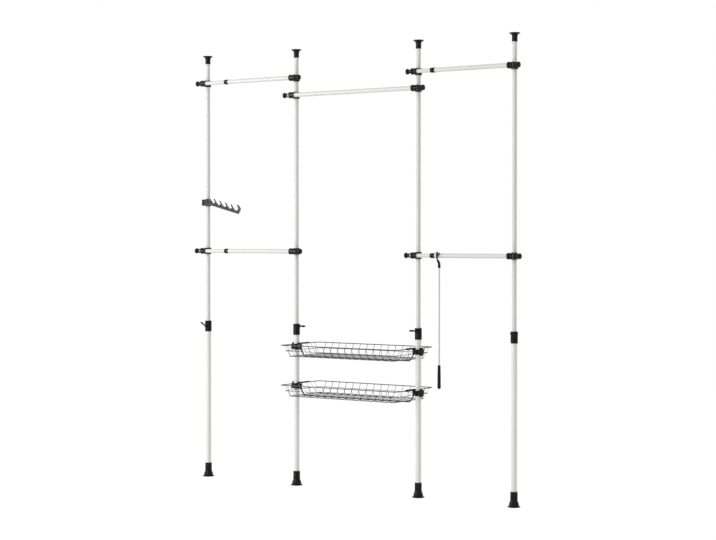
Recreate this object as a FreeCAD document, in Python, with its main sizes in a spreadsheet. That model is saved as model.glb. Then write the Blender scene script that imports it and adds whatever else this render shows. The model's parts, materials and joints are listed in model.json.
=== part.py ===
import FreeCAD, Part
import math
import os
import re

# Telescopic clothes rack: four floor-to-ceiling posts in one row, telescopic rails in front
# of them, two wire baskets between the middle posts, a hook strip and a reach pole.
# X runs along the row, -Y is the front, +Z is up, and the origin is on the floor in the middle.

V = FreeCAD.Vector

SIZES = {
    "bay_left": (670.0, "post 1 axis to post 2 axis"),
    "bay_middle": (848.0, "post 2 axis to post 3 axis"),
    "bay_right": (613.0, "post 3 axis to post 4 axis"),
    "rack_height": (2550.0, "floor to the top of the ceiling pads"),
    "lower_radius": (16.0, "outside radius of a lower post tube"),
    "upper_radius": (12.5, "outside radius of an upper post tube"),
    "tube_wall": (1.2, "wall of every post tube"),
    "lower_start": (8.0, "height of a lower tube's bottom end"),
    "lower_top": (936.0, "height of a lower tube's top end"),
    "upper_insertion": (450.0, "length of upper tube held inside a lower tube"),
    "slide_gap": (0.3, "radial gap between pieces that slide on each other"),
    "bush_length": (40.0, "length of the guide bush on an upper tube"),
    "collar_radius": (20.0, "outside radius of a lock collar"),
    "collar_height": (64.0, "height of a lock collar"),
    "collar_lip": (11.0, "part of the collar that stands above the lower tube"),
    "boss_radius": (8.5, "radius of the lever boss on a collar"),
    "boss_reach": (24.0, "post axis to the face of the lever boss"),
    "stem_radius": (3.0, "radius of the lever's clamping stem"),
    "stem_depth": (7.0, "how far the stem reaches into the boss"),
    "running_gap": (0.05, "radial gap round a turning stem"),
    "lever_drop": (15.0, "collar top down to the lever's axis"),
    "lever_drop_left": (30.0, "collar top down to the lever's axis on post 1"),
    "lever_reach": (46.0, "lever axis to the lever's tip"),
    "lever_hub": (8.0, "radius of the lever's hub"),
    "lever_thick": (7.0, "thickness of the lever's hub"),
    "lever_blade": (5.0, "thickness of the lever's blade"),
    "lever_neck": (5.5, "half height of the blade at the hub"),
    "lever_leaf": (5.5, "half height of the blade at its widest"),
    "lever_tip": (1.2, "half height of the blade's tip"),
    "blade_gap": (1.0, "hub's inner face to the blade"),
    "stem_gap": (0.4, "gap past the stem's end in the boss"),
    "lever_tilt": (30.0, "angle by which the raised lever on post 1 stands up"),
    "foot_radius": (35.0, "radius of a foot's base disc"),
    "foot_disc": (6.0, "height of a foot's base disc"),
    "foot_bell": (27.0, "radius of a foot's ribbed bell"),
    "foot_bell_taper": (2.0, "how much the bell narrows towards its top"),
    "foot_bell_height": (17.0, "height of the bell above the disc"),
    "foot_flare": (11.0, "height of the cone from bell to sleeve"),
    "foot_sleeve": (19.5, "radius of a foot's sleeve"),
    "foot_height": (84.0, "height of a foot"),
    "foot_ribs": (16.0, "ribs round a foot's bell"),
    "foot_rib_depth": (1.6, "how far a rib stands out of the bell"),
    "foot_rib_width": (3.0, "width of a rib"),
    "pad_radius": (29.3, "radius of a ceiling pad"),
    "pad_disc": (6.0, "thickness of a ceiling pad's disc"),
    "pad_floor": (10.0, "top of the pad down to the end of the tube in it"),
    "pad_cone": (13.0, "height of a ceiling pad's cone"),
    "pad_cone_radius": (23.0, "radius of the cone where it meets the disc"),
    "pad_sleeve": (15.5, "radius of a ceiling pad's sleeve"),
    "pad_height": (48.5, "height of a ceiling pad"),
    "rail_offset": (40.0, "post axes to rail axes, towards the front"),
    "rail_radius": (12.5, "outside radius of an outer rail tube"),
    "rail_inner_radius": (11.0, "outside radius of an inner rail tube"),
    "rail_wall": (1.0, "wall of every rail tube"),
    "rail_insertion": (400.0, "length of inner rail tube held inside the outer one"),
    "step_left": (165.0, "post 1 axis to the step ring of a left rail"),
    "step_right": (107.0, "post 3 axis to the step ring of a right rail"),
    "step_length": (28.0, "length of a step ring"),
    "step_radius": (14.2, "radius of a step ring"),
    "step_lip": (4.0, "part of the step ring that covers the tube's end"),
    "drop_upper_left": (168.0, "top of the rack down to the upper left rail"),
    "drop_middle": (269.0, "top of the rack down to the middle rail"),
    "drop_upper_right": (177.0, "top of the rack down to the upper right rail"),
    "rise_lower_left": (424.0, "lock collar's top up to the lower left rail"),
    "rise_lower_right": (405.0, "lock collar's top up to the lower right rail"),
    "overhang_short": (54.0, "post axis to rail end where the end is near"),
    "overhang_long": (63.0, "post axis to rail end where the end is far"),
    "clamp_height": (38.0, "height of a clamp's post ring"),
    "clamp_radius": (19.0, "outside radius of a clamp's post ring"),
    "clamp_length": (34.0, "length of a clamp's rail ring"),
    "clamp_ring": (18.5, "outside radius of a clamp's rail ring"),
    "clamp_web": (24.0, "width of the web between the two rings"),
    "clamp_web_height": (30.0, "height of the web between the two rings"),
    "screw_radius": (3.0, "shank radius of a clamp screw"),
    "screw_head": (5.5, "head radius of a clamp screw"),
    "screw_head_height": (5.0, "head height of a clamp screw"),
    "cap_length": (35.0, "length of a rail end cap"),
    "cap_length_long": (44.0, "length of an end cap that reaches its clamp"),
    "cap_nose": (4.0, "length of the cap's rounded nose"),
    "cap_neck": (8.0, "length of the taper from flange to waist"),
    "cap_flare": (13.0, "length of the knob and its nose"),
    "cap_rise": (7.0, "length of the taper from waist to knob"),
    "cap_radius": (16.0, "radius of a rail end cap's knob"),
    "cap_waist": (9.5, "radius of a rail end cap's waist"),
    "cap_flange": (14.0, "radius of a rail end cap's inner flange"),
    "cap_plug": (14.0, "length of the cap's plug inside the tube"),
    "basket_upper": (831.0, "rim height of the upper basket"),
    "basket_lower": (601.0, "rim height of the lower basket"),
    "basket_gap": (22.0, "post axis to the axis of the basket's end rim"),
    "basket_width": (380.0, "front rim axis to rear rim axis"),
    "basket_depth": (66.0, "rim axis down to the basket floor's underside"),
    "basket_inset_end": (40.0, "how far each end wall leans in"),
    "basket_inset_side": (30.0, "how far each long wall leans in"),
    "basket_corner": (20.0, "corner radius of the rim"),
    "basket_corner_low": (14.0, "corner radius of the floor"),
    "rim_radius": (2.5, "radius of the rim wire"),
    "wire": (3.6, "diameter of the basket wires"),
    "wire_pitch": (50.0, "spacing of the basket wires"),
    "frame_radius": (3.5, "radius of the support frame's bar"),
    "frame_inset": (57.0, "post axis to the lower bend of the support frame"),
    "frame_bend": (16.0, "bend radius of the support frame"),
    "bracket_radius": (20.5, "outside radius of a basket bracket's post ring"),
    "bracket_height": (29.0, "height of a basket bracket"),
    "bracket_drop": (3.2, "rim axis down to the bracket's top"),
    "bracket_block": (34.0, "post axis to the inner face of the bracket's block"),
    "bracket_block_width": (18.0, "width of the bracket's block"),
    "bracket_bar": (110.0, "length of the bracket's rim bar"),
    "bracket_bar_start": (18.0, "how far the rim bar reaches to the side without the knob"),
    "bracket_bar_width": (9.4, "width of the bracket's rim bar"),
    "bracket_bar_rise": (6.5, "rim axis up to the top of the bracket's rim bar"),
    "groove_gap": (0.1, "gap round the rim wire in the bracket's bar"),
    "knob_offset": (28.0, "post axis to the clamp knob's axis, across the row"),
    "knob_drop": (14.0, "rim axis down to the clamp knob's axis"),
    "knob_radius": (23.5, "radius of a clamp knob"),
    "knob_thick": (13.0, "thickness of a clamp knob's disc"),
    "knob_hub": (7.0, "length of the knob's tapered hub"),
    "knob_start": (31.0, "post axis to the near face of the knob's disc"),
    "knob_lobes": (8.0, "finger hollows round a clamp knob"),
    "knob_stem": (4.0, "radius of the knob's threaded stem"),
    "knob_hub_start": (6.0, "radius of the hub where it meets the stem"),
    "knob_hub_end": (13.0, "radius of the hub where it meets the disc"),
    "lobe_radius": (6.5, "radius of a finger hollow"),
    "lobe_out": (4.0, "knob's rim out to the middle of a finger hollow"),
    "lug_reach": (6.0, "how far the bracket's lug passes the post axis"),
    "lug_length": (18.0, "length of the bracket's lug"),
    "lug_width": (8.0, "half width of the bracket's lug"),
    "strip_rise": (290.0, "lower left rail up to the middle of the hook strip's clamp"),
    "strip_clamp": (42.0, "height of the hook strip's clamp"),
    "strip_clamp_radius": (19.0, "outside radius of the hook strip's clamp"),
    "strip_thick": (6.0, "thickness of the hook strip"),
    "strip_offset": (27.0, "post axis to the middle of the hook strip"),
    "hook_pitch": (43.5, "distance from one hook to the next"),
    "hook_fall": (11.2, "drop from one hook to the next"),
    "hook_first": (65.0, "post axis to the first hook's bottom"),
    "hook_depth": (26.0, "height of a hook's tip above its hollow"),
    "hook_round": (6.0, "radius of a hook's hollow"),
    "strip_web": (15.0, "height of the strip below a hook's hollow"),
    "strip_start": (17.0, "post axis to the start of the strip in its clamp"),
    "strip_drop": (4.0, "clamp's middle down to the first hook's hollow"),
    "strip_block": (36.0, "length of the block that joins clamp and strip"),
    "strip_block_start": (11.4, "post axis to the block's far end"),
    "strip_block_height": (37.8, "height of the block that joins clamp and strip"),
    "pole_x": (173.0, "post 3 axis to the reach pole"),
    "pole_forward": (17.5, "rail axis to the reach pole's axis"),
    "pole_rod_radius": (5.0, "radius of the reach pole's rod"),
    "pole_top": (67.0, "rail axis down to the bottom of the pole's head"),
    "pole_length": (733.0, "rail axis down to the end of the pole's handle"),
    "handle_length": (131.0, "length of the pole's handle"),
    "handle_radius": (8.5, "radius of the pole's handle"),
    "hook_wire": (4.5, "radius of the pole head's hook"),
    "rod_socket": (30.0, "length of rod held in the handle"),
    "handle_neck": (7.3, "radius of the handle's upper end"),
    "pole_shift": (10.0, "pole's axis to the middle of its hook, along the rail"),
    "pole_hook_turn": (25.0, "angle of the hook's plane across the rail"),
    "pole_hook_tip": (9.0, "length of the hook's straight end behind the rail"),
    "pole_stem_start": (6.0, "rail axis down to the head's first bend"),
    "pole_stem_middle": (30.0, "rail axis down to the head's second bend"),
    "pole_stem_end": (50.0, "rail axis down to the head's last bend"),
    "prong_reach": (14.0, "how far the prong stands out along the rail"),
    "prong_rise": (18.0, "how far the prong rises"),
    "prong_radius": (3.6, "radius of the prong"),
    "head_socket": (27.0, "length of the head's tapered socket"),
    "head_socket_radius": (7.5, "radius of the socket at the rod"),
    "head_neck_radius": (5.5, "radius of the socket at the stem"),
    "head_bore": (21.0, "length of rod held in the head"),
}

HOOKS = 5
# Corner points of the strip's hooks, along and up from the middle of a hollow, in hook depths
END_HOOK = ((1.23, -0.08), (1.31, 0.38), (0.96, 0.92), (0.46, 1.31), (0.23, 1.19), (0.58, 0.65), (0.69, 0.31),
            (0.46, 0.04))
SPIKE_BACK = ((-0.88, 0.65),)
SPIKE_TIP = ((0.23, 1.0), (0.12, 0.88), (0.54, 0.31))
FIRST_SHOULDER = ((-0.54, 0.54),)
LEVERS = {1: ("front", -1), 2: ("back", 1), 3: ("front", -1), 4: ("back", -1)}
LEVER_DROPS = {1: "lever_drop_left", 2: "lever_drop", 3: "lever_drop", 4: "lever_drop"}

doc = FreeCAD.newDocument("TelescopicClothesRack")
sheet = doc.addObject("Spreadsheet::Sheet", "Sizes")
for row, (alias, (value, note)) in enumerate(SIZES.items(), start=1):
    sheet.set(f"A{row}", str(value))
    sheet.setAlias(f"A{row}", alias)
    sheet.set(f"B{row}", note)
doc.recompute()


def ex(text):
    """A sum of size names as an expression on the sheet."""
    def on_sheet(match):
        word = match.group(0)
        return "Sizes." + word if word in SIZES else word
    return re.sub(r"[a-z][a-z_]*", on_sheet, str(text))


def size(text):
    """The same sum as a number."""
    return float(sheet.evalExpression(ex(text)))


POST = {
    1: "(0 - (bay_left + bay_middle + bay_right) / 2)",
    2: "(0 - (bay_left + bay_middle + bay_right) / 2 + bay_left)",
    3: "((bay_left + bay_middle + bay_right) / 2 - bay_right)",
    4: "((bay_left + bay_middle + bay_right) / 2)",
}
TURNS = {
    "z": FreeCAD.Rotation(),
    "x": FreeCAD.Rotation(V(0, 1, 0), 90),
    "y": FreeCAD.Rotation(V(1, 0, 0), -90),
    "-y": FreeCAD.Rotation(V(1, 0, 0), 90),
}


def place(obj, at, axis="z"):
    obj.Placement = FreeCAD.Placement(V(), TURNS[axis])
    for letter, text in zip("xyz", at):
        obj.setExpression("Placement.Base." + letter, ex(text))
    return obj


def cylinder(name, radius, height, at, axis="z"):
    obj = doc.addObject("Part::Cylinder", name)
    obj.setExpression("Radius", ex(radius))
    obj.setExpression("Height", ex(height))
    return place(obj, at, axis)


def cone(name, low, high, height, at, axis="z"):
    obj = doc.addObject("Part::Cone", name)
    obj.setExpression("Radius1", ex(low))
    obj.setExpression("Radius2", ex(high))
    obj.setExpression("Height", ex(height))
    return place(obj, at, axis)


def box(name, spans, at):
    obj = doc.addObject("Part::Box", name)
    for prop, text in zip(("Length", "Width", "Height"), spans):
        obj.setExpression(prop, ex(text))
    return place(obj, at)


def fuse(name, parts):
    obj = doc.addObject("Part::MultiFuse", name)
    obj.Shapes = parts
    return obj


def cut(name, base, tools):
    tool = tools[0] if len(tools) == 1 else fuse(name + "_tools", tools)
    obj = doc.addObject("Part::Cut", name)
    obj.Base = base
    obj.Tool = tool
    return obj


def feature(name, shape):
    obj = doc.addObject("Part::Feature", name)
    obj.Shape = shape
    return obj


NODES = {}


def node(label, parts):
    """One named sub-part; identical pieces of it stay separate solids."""
    if len(parts) == 1:
        obj = parts[0]
    else:
        obj = doc.addObject("Part::Compound", label + "_set")
        obj.Links = parts
    obj.Label = label
    NODES[label] = obj


def tube(name, radius, wall, length, at, axis="z"):
    outside = cylinder(name + "_outside", radius, length, at, axis)
    bore = cylinder(name + "_bore", f"{radius} - {wall}", length, at, axis)
    return cut(name, outside, [bore])


# Posts

UPPER_START = "(lower_top - upper_insertion)"
UPPER_TOP = "(rack_height - pad_floor)"
COLLAR_TOP = "(lower_top + collar_lip)"
LOWER_LEFT = f"({COLLAR_TOP} + rise_lower_left)"
LOWER_RIGHT = f"({COLLAR_TOP} + rise_lower_right)"
MIDDLE_RAIL = "(rack_height - drop_middle)"


def foot(post):
    x = POST[post]
    name = f"foot_{post}"
    bell_z = "foot_disc"
    flare_z = "foot_disc + foot_bell_height"
    sleeve_z = "foot_disc + foot_bell_height + foot_flare"
    parts = [
        cylinder(name + "_disc", "foot_radius", "foot_disc", (x, "0", "0")),
        cone(name + "_bell", "foot_bell", "foot_bell - foot_bell_taper", "foot_bell_height", (x, "0", bell_z)),
        cone(name + "_flare", "foot_bell - foot_bell_taper", "foot_sleeve", "foot_flare", (x, "0", flare_z)),
        cylinder(name + "_sleeve", "foot_sleeve", f"foot_height - ({sleeve_z})", (x, "0", sleeve_z)),
    ]
    count = int(size("foot_ribs"))
    reach = size("foot_bell / 2 + foot_rib_depth")
    width = size("foot_rib_width")
    for index in range(count):
        rib = Part.makeBox(reach, width, size("foot_bell_height"), V(size("foot_bell") / 2, -width / 2, 0))
        rib.rotate(V(), V(0, 0, 1), index * 360 / count)
        rib.translate(V(size(x), 0, size("foot_disc")))
        parts.append(feature(f"{name}_rib_{index}", rib))
    whole = fuse(name + "_solid", parts)
    socket = cylinder(name + "_socket", "lower_radius", "foot_height", (x, "0", "lower_start"))
    return cut(name, whole, [socket])


def lock_collar(post):
    x = POST[post]
    side = -1 if LEVERS[post][0] == "front" else 1
    axis = "-y" if side < 0 else "y"
    name = f"collar_{post}"
    lever_z = f"{COLLAR_TOP} - {LEVER_DROPS[post]}"
    sleeve = cylinder(name + "_sleeve", "collar_radius", "collar_height", (x, "0", f"{COLLAR_TOP} - collar_height"))
    boss = cylinder(name + "_boss", "boss_radius", "boss_reach", (x, "0", lever_z), axis)
    socket = cylinder(name + "_socket", "lower_radius", "collar_height - collar_lip",
                      (x, "0", f"{COLLAR_TOP} - collar_height"))
    throat = cylinder(name + "_throat", "upper_radius + slide_gap", "collar_height",
                      (x, "0", f"{COLLAR_TOP} - collar_height"))
    hole = cylinder(name + "_hole", "stem_radius + running_gap", "stem_depth + stem_gap",
                    (x, f"{side} * (boss_reach - stem_depth - stem_gap)", lever_z), axis)
    return cut(name, fuse(name + "_solid", [sleeve, boss]), [socket, throat, hole])


def guide_bush(post):
    x = POST[post]
    name = f"bush_{post}"
    outside = cylinder(name + "_outside", "lower_radius - tube_wall - slide_gap", "bush_length",
                       (x, "0", UPPER_START))
    bore = cylinder(name + "_bore", "upper_radius", "bush_length", (x, "0", UPPER_START))
    return cut(name, outside, [bore])


def ceiling_pad(post):
    x = POST[post]
    name = f"pad_{post}"
    disc_z = "rack_height - pad_disc"
    cone_z = "rack_height - pad_disc - pad_cone"
    sleeve_z = "rack_height - pad_height"
    whole = fuse(name + "_solid", [
        cylinder(name + "_disc", "pad_radius", "pad_disc", (x, "0", disc_z)),
        cone(name + "_cone", "pad_sleeve", "pad_cone_radius", "pad_cone", (x, "0", cone_z)),
        cylinder(name + "_sleeve", "pad_sleeve", "pad_height - pad_disc - pad_cone", (x, "0", sleeve_z)),
    ])
    socket = cylinder(name + "_socket", "upper_radius", f"{UPPER_TOP} - ({sleeve_z})", (x, "0", sleeve_z))
    return cut(name, whole, [socket])


def lower_tube(post):
    return tube(f"lower_tube_solid_{post}", "lower_radius", "tube_wall", "lower_top - lower_start",
                (POST[post], "0", "lower_start"))


def upper_tube(post):
    return tube(f"upper_tube_solid_{post}", "upper_radius", "tube_wall", f"{UPPER_TOP} - {UPPER_START}",
                (POST[post], "0", UPPER_START))


def lock_lever(post):
    """Hub, stem and tapered blade, drawn pointing along +X and turned to its place."""
    where, direction = LEVERS[post]
    side = -1 if where == "front" else 1
    hub, reach, blade = size("lever_hub"), size("lever_reach"), size("lever_blade")
    face = size("boss_reach + slide_gap")
    neck, leaf, tip = size("lever_neck"), size("lever_leaf"), size("lever_tip")
    upper = [V(0, 0, neck), V(reach * 0.6, 0, leaf), V(reach, 0, tip)]
    lower = [V(point.x, 0, -point.z) for point in reversed(upper)]
    outline = Part.Face(Part.makePolygon(upper + lower + upper[:1]))
    arm = outline.extrude(V(0, blade, 0))
    arm.translate(V(0, face + size("blade_gap"), 0))
    knob = Part.makeCylinder(hub, size("lever_thick"), V(0, face, 0), V(0, 1, 0))
    stem = Part.makeCylinder(size("stem_radius"), size("stem_depth") + face - size("boss_reach"),
                             V(0, size("boss_reach - stem_depth"), 0), V(0, 1, 0))
    shape = knob.fuse([arm, stem]).removeSplitter()
    if side < 0:
        shape.rotate(V(), V(0, 0, 1), 180)
    if (side > 0) != (direction > 0):
        shape.rotate(V(), V(0, 1, 0), 180)
    if post == 1:
        shape.rotate(V(), V(0, 1, 0), size("lever_tilt"))
    shape.translate(V(size(POST[post]), 0, size(f"{COLLAR_TOP} - {LEVER_DROPS[post]}")))
    return feature(f"lever_{post}", shape)


for post, label in ((1, "left"), (4, "right")):
    node(f"{label}_foot", [foot(post)])
    node(f"{label}_lower_tube", [lower_tube(post)])
    node(f"{label}_lock_collar", [lock_collar(post)])
    node(f"{label}_upper_tube", [upper_tube(post)])
    node(f"{label}_guide_bush", [guide_bush(post)])
    node(f"{label}_ceiling_pad", [ceiling_pad(post)])
node("middle_feet", [foot(2), foot(3)])
node("middle_lower_tubes", [lower_tube(2), lower_tube(3)])
node("middle_lock_collars", [lock_collar(2), lock_collar(3)])
node("middle_upper_tubes", [upper_tube(2), upper_tube(3)])
node("middle_guide_bushes", [guide_bush(2), guide_bush(3)])
node("middle_ceiling_pads", [ceiling_pad(2), ceiling_pad(3)])
for post in POST:
    node(f"lock_lever_{post}", [lock_lever(post)])

# Rails

RAIL_Y = "(0 - rail_offset)"


def rail_clamp(name, post, height, radius):
    """A ring round the post and a ring round the rail, joined by a web."""
    x = POST[post]
    rings = [
        cylinder(name + "_post_ring", "clamp_radius", "clamp_height", (x, "0", f"{height} - clamp_height / 2")),
        cylinder(name + "_rail_ring", "clamp_ring", "clamp_length", (f"{x} - clamp_length / 2", RAIL_Y, height), "x"),
        box(name + "_web", ("clamp_web", "rail_offset", "clamp_web_height"),
            (f"{x} - clamp_web / 2", RAIL_Y, f"{height} - clamp_web_height / 2")),
    ]
    bores = [
        cylinder(name + "_post_bore", "upper_radius + slide_gap", "clamp_height",
                 (x, "0", f"{height} - clamp_height / 2")),
        cylinder(name + "_rail_bore", radius, "clamp_length", (f"{x} - clamp_length / 2", RAIL_Y, height), "x"),
        cylinder(name + "_screw_hole", "screw_radius", "clamp_radius", (x, "0", height), "y"),
    ]
    return cut(name, fuse(name + "_solid", rings), bores)


def clamp_screw(name, post, height):
    x = POST[post]
    start = "upper_radius + slide_gap * 2"
    shank = cylinder(name + "_shank", "screw_radius", f"clamp_radius - ({start})", (x, start, height), "y")
    head = cylinder(name + "_head", "screw_head", "screw_head_height", (x, "clamp_radius", height), "y")
    return fuse(name, [shank, head])


def end_cap(name, end, height, direction, bore, length):
    """A spool-shaped cap, from its plug in the tube to its rounded knob."""
    waist = "0 - cap_flare - cap_rise"
    marks = [("plug", f"0 - {length} - cap_plug", f"0 - {length}", bore, bore),
             ("flange", f"0 - {length}", f"{waist} - cap_neck", "cap_flange", "cap_flange"),
             ("neck", f"{waist} - cap_neck", waist, "cap_flange", "cap_waist"),
             ("flare", waist, "0 - cap_flare", "cap_waist", "cap_radius"),
             ("knob", "0 - cap_flare", "0 - cap_nose", "cap_radius", "cap_radius"),
             ("nose", "0 - cap_nose", "0", "cap_radius", "cap_radius - cap_nose")]
    parts = []
    for label, start, stop, low, high in marks:
        if direction > 0:
            x = f"{end} + {start}"
        else:
            x = f"{end} - ({stop})"
            low, high = high, low
        if low == high:
            parts.append(cylinder(f"{name}_{label}", low, f"({stop}) - ({start})", (x, RAIL_Y, height), "x"))
        else:
            parts.append(cone(f"{name}_{label}", low, high, f"({stop}) - ({start})", (x, RAIL_Y, height), "x"))
    return fuse(name, parts)


def rail_tube(name, start, stop, height, radius):
    return tube(name, radius, "rail_wall", f"({stop}) - ({start})", (start, RAIL_Y, height), "x")


def telescopic_rail(label, height, left, right, step, overhang, right_cap):
    """The thin tube comes from the left post and slides in the thick one on the right post."""
    left_end = f"{POST[left]} - {overhang}"
    right_end = f"{POST[right]} + {overhang}"
    ring = f"{POST[left]} + {step}"
    thin_bore = "rail_inner_radius - rail_wall"
    thick_bore = "rail_radius - rail_wall"
    thin = rail_tube(label + "_thin", f"{left_end} + cap_length", f"{ring} + rail_insertion", height,
                     "rail_inner_radius")
    thick = rail_tube(label + "_thick", f"{ring} + step_lip", f"{right_end} - {right_cap}", height, "rail_radius")
    sleeve = cylinder(label + "_sleeve", "step_radius", "step_length", (ring, RAIL_Y, height), "x")
    throat = cylinder(label + "_throat", "rail_inner_radius + slide_gap", "step_length", (ring, RAIL_Y, height), "x")
    seat = cylinder(label + "_seat", "rail_radius", "step_length", (f"{ring} + step_lip", RAIL_Y, height), "x")
    node(f"{label}_inner_tube", [thin])
    node(f"{label}_outer_tube", [thick])
    node(f"{label}_step_ring", [cut(label + "_ring", sleeve, [throat, seat])])
    for side, post, radius, end, direction, bore, length in (
            ("inner", left, "rail_inner_radius", left_end, -1, thin_bore, "cap_length"),
            ("outer", right, "rail_radius", right_end, 1, thick_bore, right_cap)):
        name = f"{label}_{side}"
        node(f"{name}_clamp_and_cap", [rail_clamp(name + "_clamp", post, height, radius),
                                       clamp_screw(name + "_screw", post, height),
                                       end_cap(name + "_cap", end, height, direction, bore, length)])


RAILS = {
    "upper_left_rail": ("(rack_height - drop_upper_left)", 1, 2, "step_left", "overhang_short", "cap_length"),
    "lower_left_rail": (LOWER_LEFT, 1, 2, "step_left", "overhang_long", "cap_length_long"),
    "upper_right_rail": ("(rack_height - drop_upper_right)", 3, 4, "step_right", "overhang_short", "cap_length"),
    "lower_right_rail": (LOWER_RIGHT, 3, 4, "step_right", "overhang_long", "cap_length_long"),
}
for label, values in RAILS.items():
    telescopic_rail(label, *values)

middle_ends = (f"{POST[2]} - overhang_long", f"{POST[3]} + overhang_long")
node("middle_rail_tube", [rail_tube("middle_tube", f"{middle_ends[0]} + cap_length",
                                    f"{middle_ends[1]} - cap_length_long", MIDDLE_RAIL, "rail_radius")])
node("middle_rail_clamps", [rail_clamp(f"middle_clamp_{post}", post, MIDDLE_RAIL, "rail_radius") for post in (2, 3)])
node("middle_rail_screws", [clamp_screw(f"middle_screw_{post}", post, MIDDLE_RAIL) for post in (2, 3)])
node("middle_rail_end_caps", [
    end_cap("middle_cap_left", middle_ends[0], MIDDLE_RAIL, -1, "rail_radius - rail_wall", "cap_length"),
    end_cap("middle_cap_right", middle_ends[1], MIDDLE_RAIL, 1, "rail_radius - rail_wall", "cap_length_long"),
])

# Baskets

BASKETS = {"upper_basket": "basket_upper", "lower_basket": "basket_lower"}


def rounded(length, width, radius, height, middle):
    """A rectangle with round corners, about the baskets' middle."""
    wire = Part.makePolygon([V(0, 0, 0), V(length, 0, 0), V(length, width, 0), V(0, width, 0), V(0, 0, 0)])
    face = Part.Face(wire).extrude(V(0, 0, 1))
    edges = [e for e in face.Edges if abs(e.tangentAt(e.FirstParameter).z) > 0.9]
    solid = face.makeFillet(radius, edges)
    outline = [f for f in solid.Faces if abs(f.CenterOfMass.z) < 1e-6][0].OuterWire
    outline.translate(V(middle - length / 2, -width / 2, height))
    return outline


def wire_basket(name, rim):
    """Leaning walls and a floor, cut into a grid of wires, under a round rim wire."""
    wire, depth, corner = size("wire"), size("basket_depth"), size("basket_corner")
    low_corner = size("basket_corner_low")
    middle = (size(POST[2]) + size(POST[3])) / 2
    length, width = size("bay_middle - basket_gap * 2"), size("basket_width")
    lean_end, lean_side = size("basket_inset_end"), size("basket_inset_side")
    low_length, low_width = length - 2 * lean_end, width - 2 * lean_side
    floor = rim - depth
    outer = Part.makeLoft([rounded(low_length + wire, low_width + wire, low_corner, floor, middle),
                           rounded(length + wire, width + wire, corner, rim, middle)], True, True)
    lift = wire / depth
    inner = Part.makeLoft([
        rounded(low_length - wire + 2 * lean_end * lift, low_width - wire + 2 * lean_side * lift, low_corner,
                floor + wire, middle),
        rounded(length - wire + 2 * lean_end * lift, width - wire + 2 * lean_side * lift, corner,
                rim + wire, middle)], True, True)
    tray = outer.cut(inner)
    across = round((low_length - 2 * low_corner) / size("wire_pitch"))
    deep = round((low_width - 2 * low_corner) / size("wire_pitch"))
    deep += 1 - deep % 2
    step_x = (low_length - 2 * low_corner) / across
    step_y = (low_width - 2 * low_corner) / deep
    starts_x = [middle - step_x * across / 2 + step_x * i + wire / 2 for i in range(across)]
    starts_y = [-step_y * deep / 2 + step_y * i + wire / 2 for i in range(deep)]
    rows = [(floor + wire * 1.5, floor + depth / 2 - wire / 2), (floor + depth / 2 + wire / 2, rim - wire / 2)]
    gaps = []
    for low, high in rows:
        for start in starts_x:
            gaps.append(Part.makeBox(step_x - wire, width * 2, high - low, V(start, -width, low)))
        for start in starts_y:
            gaps.append(Part.makeBox(length * 2, step_y - wire, high - low, V(middle - length, start, low)))
    for start_x in starts_x:
        for start_y in starts_y:
            gaps.append(Part.makeBox(step_x - wire, step_y - wire, wire * 2, V(start_x, start_y, floor - wire / 2)))
    for low, high in rows:
        for x in (middle - length, middle + step_x * across / 2 + wire / 2):
            for y in (-width, step_y * deep / 2 + wire / 2):
                span_x = length - step_x * across / 2 - wire / 2
                span_y = width - step_y * deep / 2 - wire / 2
                gaps.append(Part.makeBox(span_x, span_y, high - low, V(x, y, low)))
    tray = tray.cut(Part.makeCompound(gaps))
    path = rounded(length, width, corner, rim, middle)
    start = path.Edges[0]
    section = Part.Wire(Part.makeCircle(size("rim_radius"), start.valueAt(start.FirstParameter),
                                        start.tangentAt(start.FirstParameter)))
    ring = path.makePipeShell([section], True, True)
    return feature(name, tray.fuse(ring).removeSplitter())


def support_frame(name, rim):
    """The bar under the basket, from one bracket's block down, along and up to the other."""
    radius = size("frame_radius")
    top = rim - size("bracket_drop + bracket_height")
    run = rim - size("basket_depth") - radius - size("groove_gap")
    corners = []
    for post, side in ((2, 1), (3, -1)):
        x = size(POST[post])
        corners.append((V(x + side * size("bracket_block - frame_radius"), 0, top),
                        V(x + side * size("frame_inset"), 0, run)))
    points = [corners[0][0], corners[0][1], corners[1][1], corners[1][0]]
    bend = size("frame_bend")
    edges, last = [], points[0]
    for before, point, after in zip(points, points[1:], points[2:]):
        a = (before - point).normalize()
        b = (after - point).normalize()
        half = a.getAngle(b) / 2
        reach = bend / math.tan(half)
        centre = point + (a + b).normalize() * (bend / math.sin(half))
        middle = centre + (point - centre).normalize() * bend
        edges.append(Part.LineSegment(last, point + a * reach).toShape())
        edges.append(Part.Arc(point + a * reach, middle, point + b * reach).toShape())
        last = point + b * reach
    edges.append(Part.LineSegment(last, points[-1]).toShape())
    path = Part.Wire(edges)
    section = Part.Wire(Part.makeCircle(radius, points[0], points[1] - points[0]))
    bar = path.makePipeShell([section], True, True)
    reach = size("bay_middle")
    above = Part.makeBox(reach, reach, radius * 4, V(size(POST[2]), -reach / 2, top))
    return feature(name, bar.cut(above))


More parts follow.
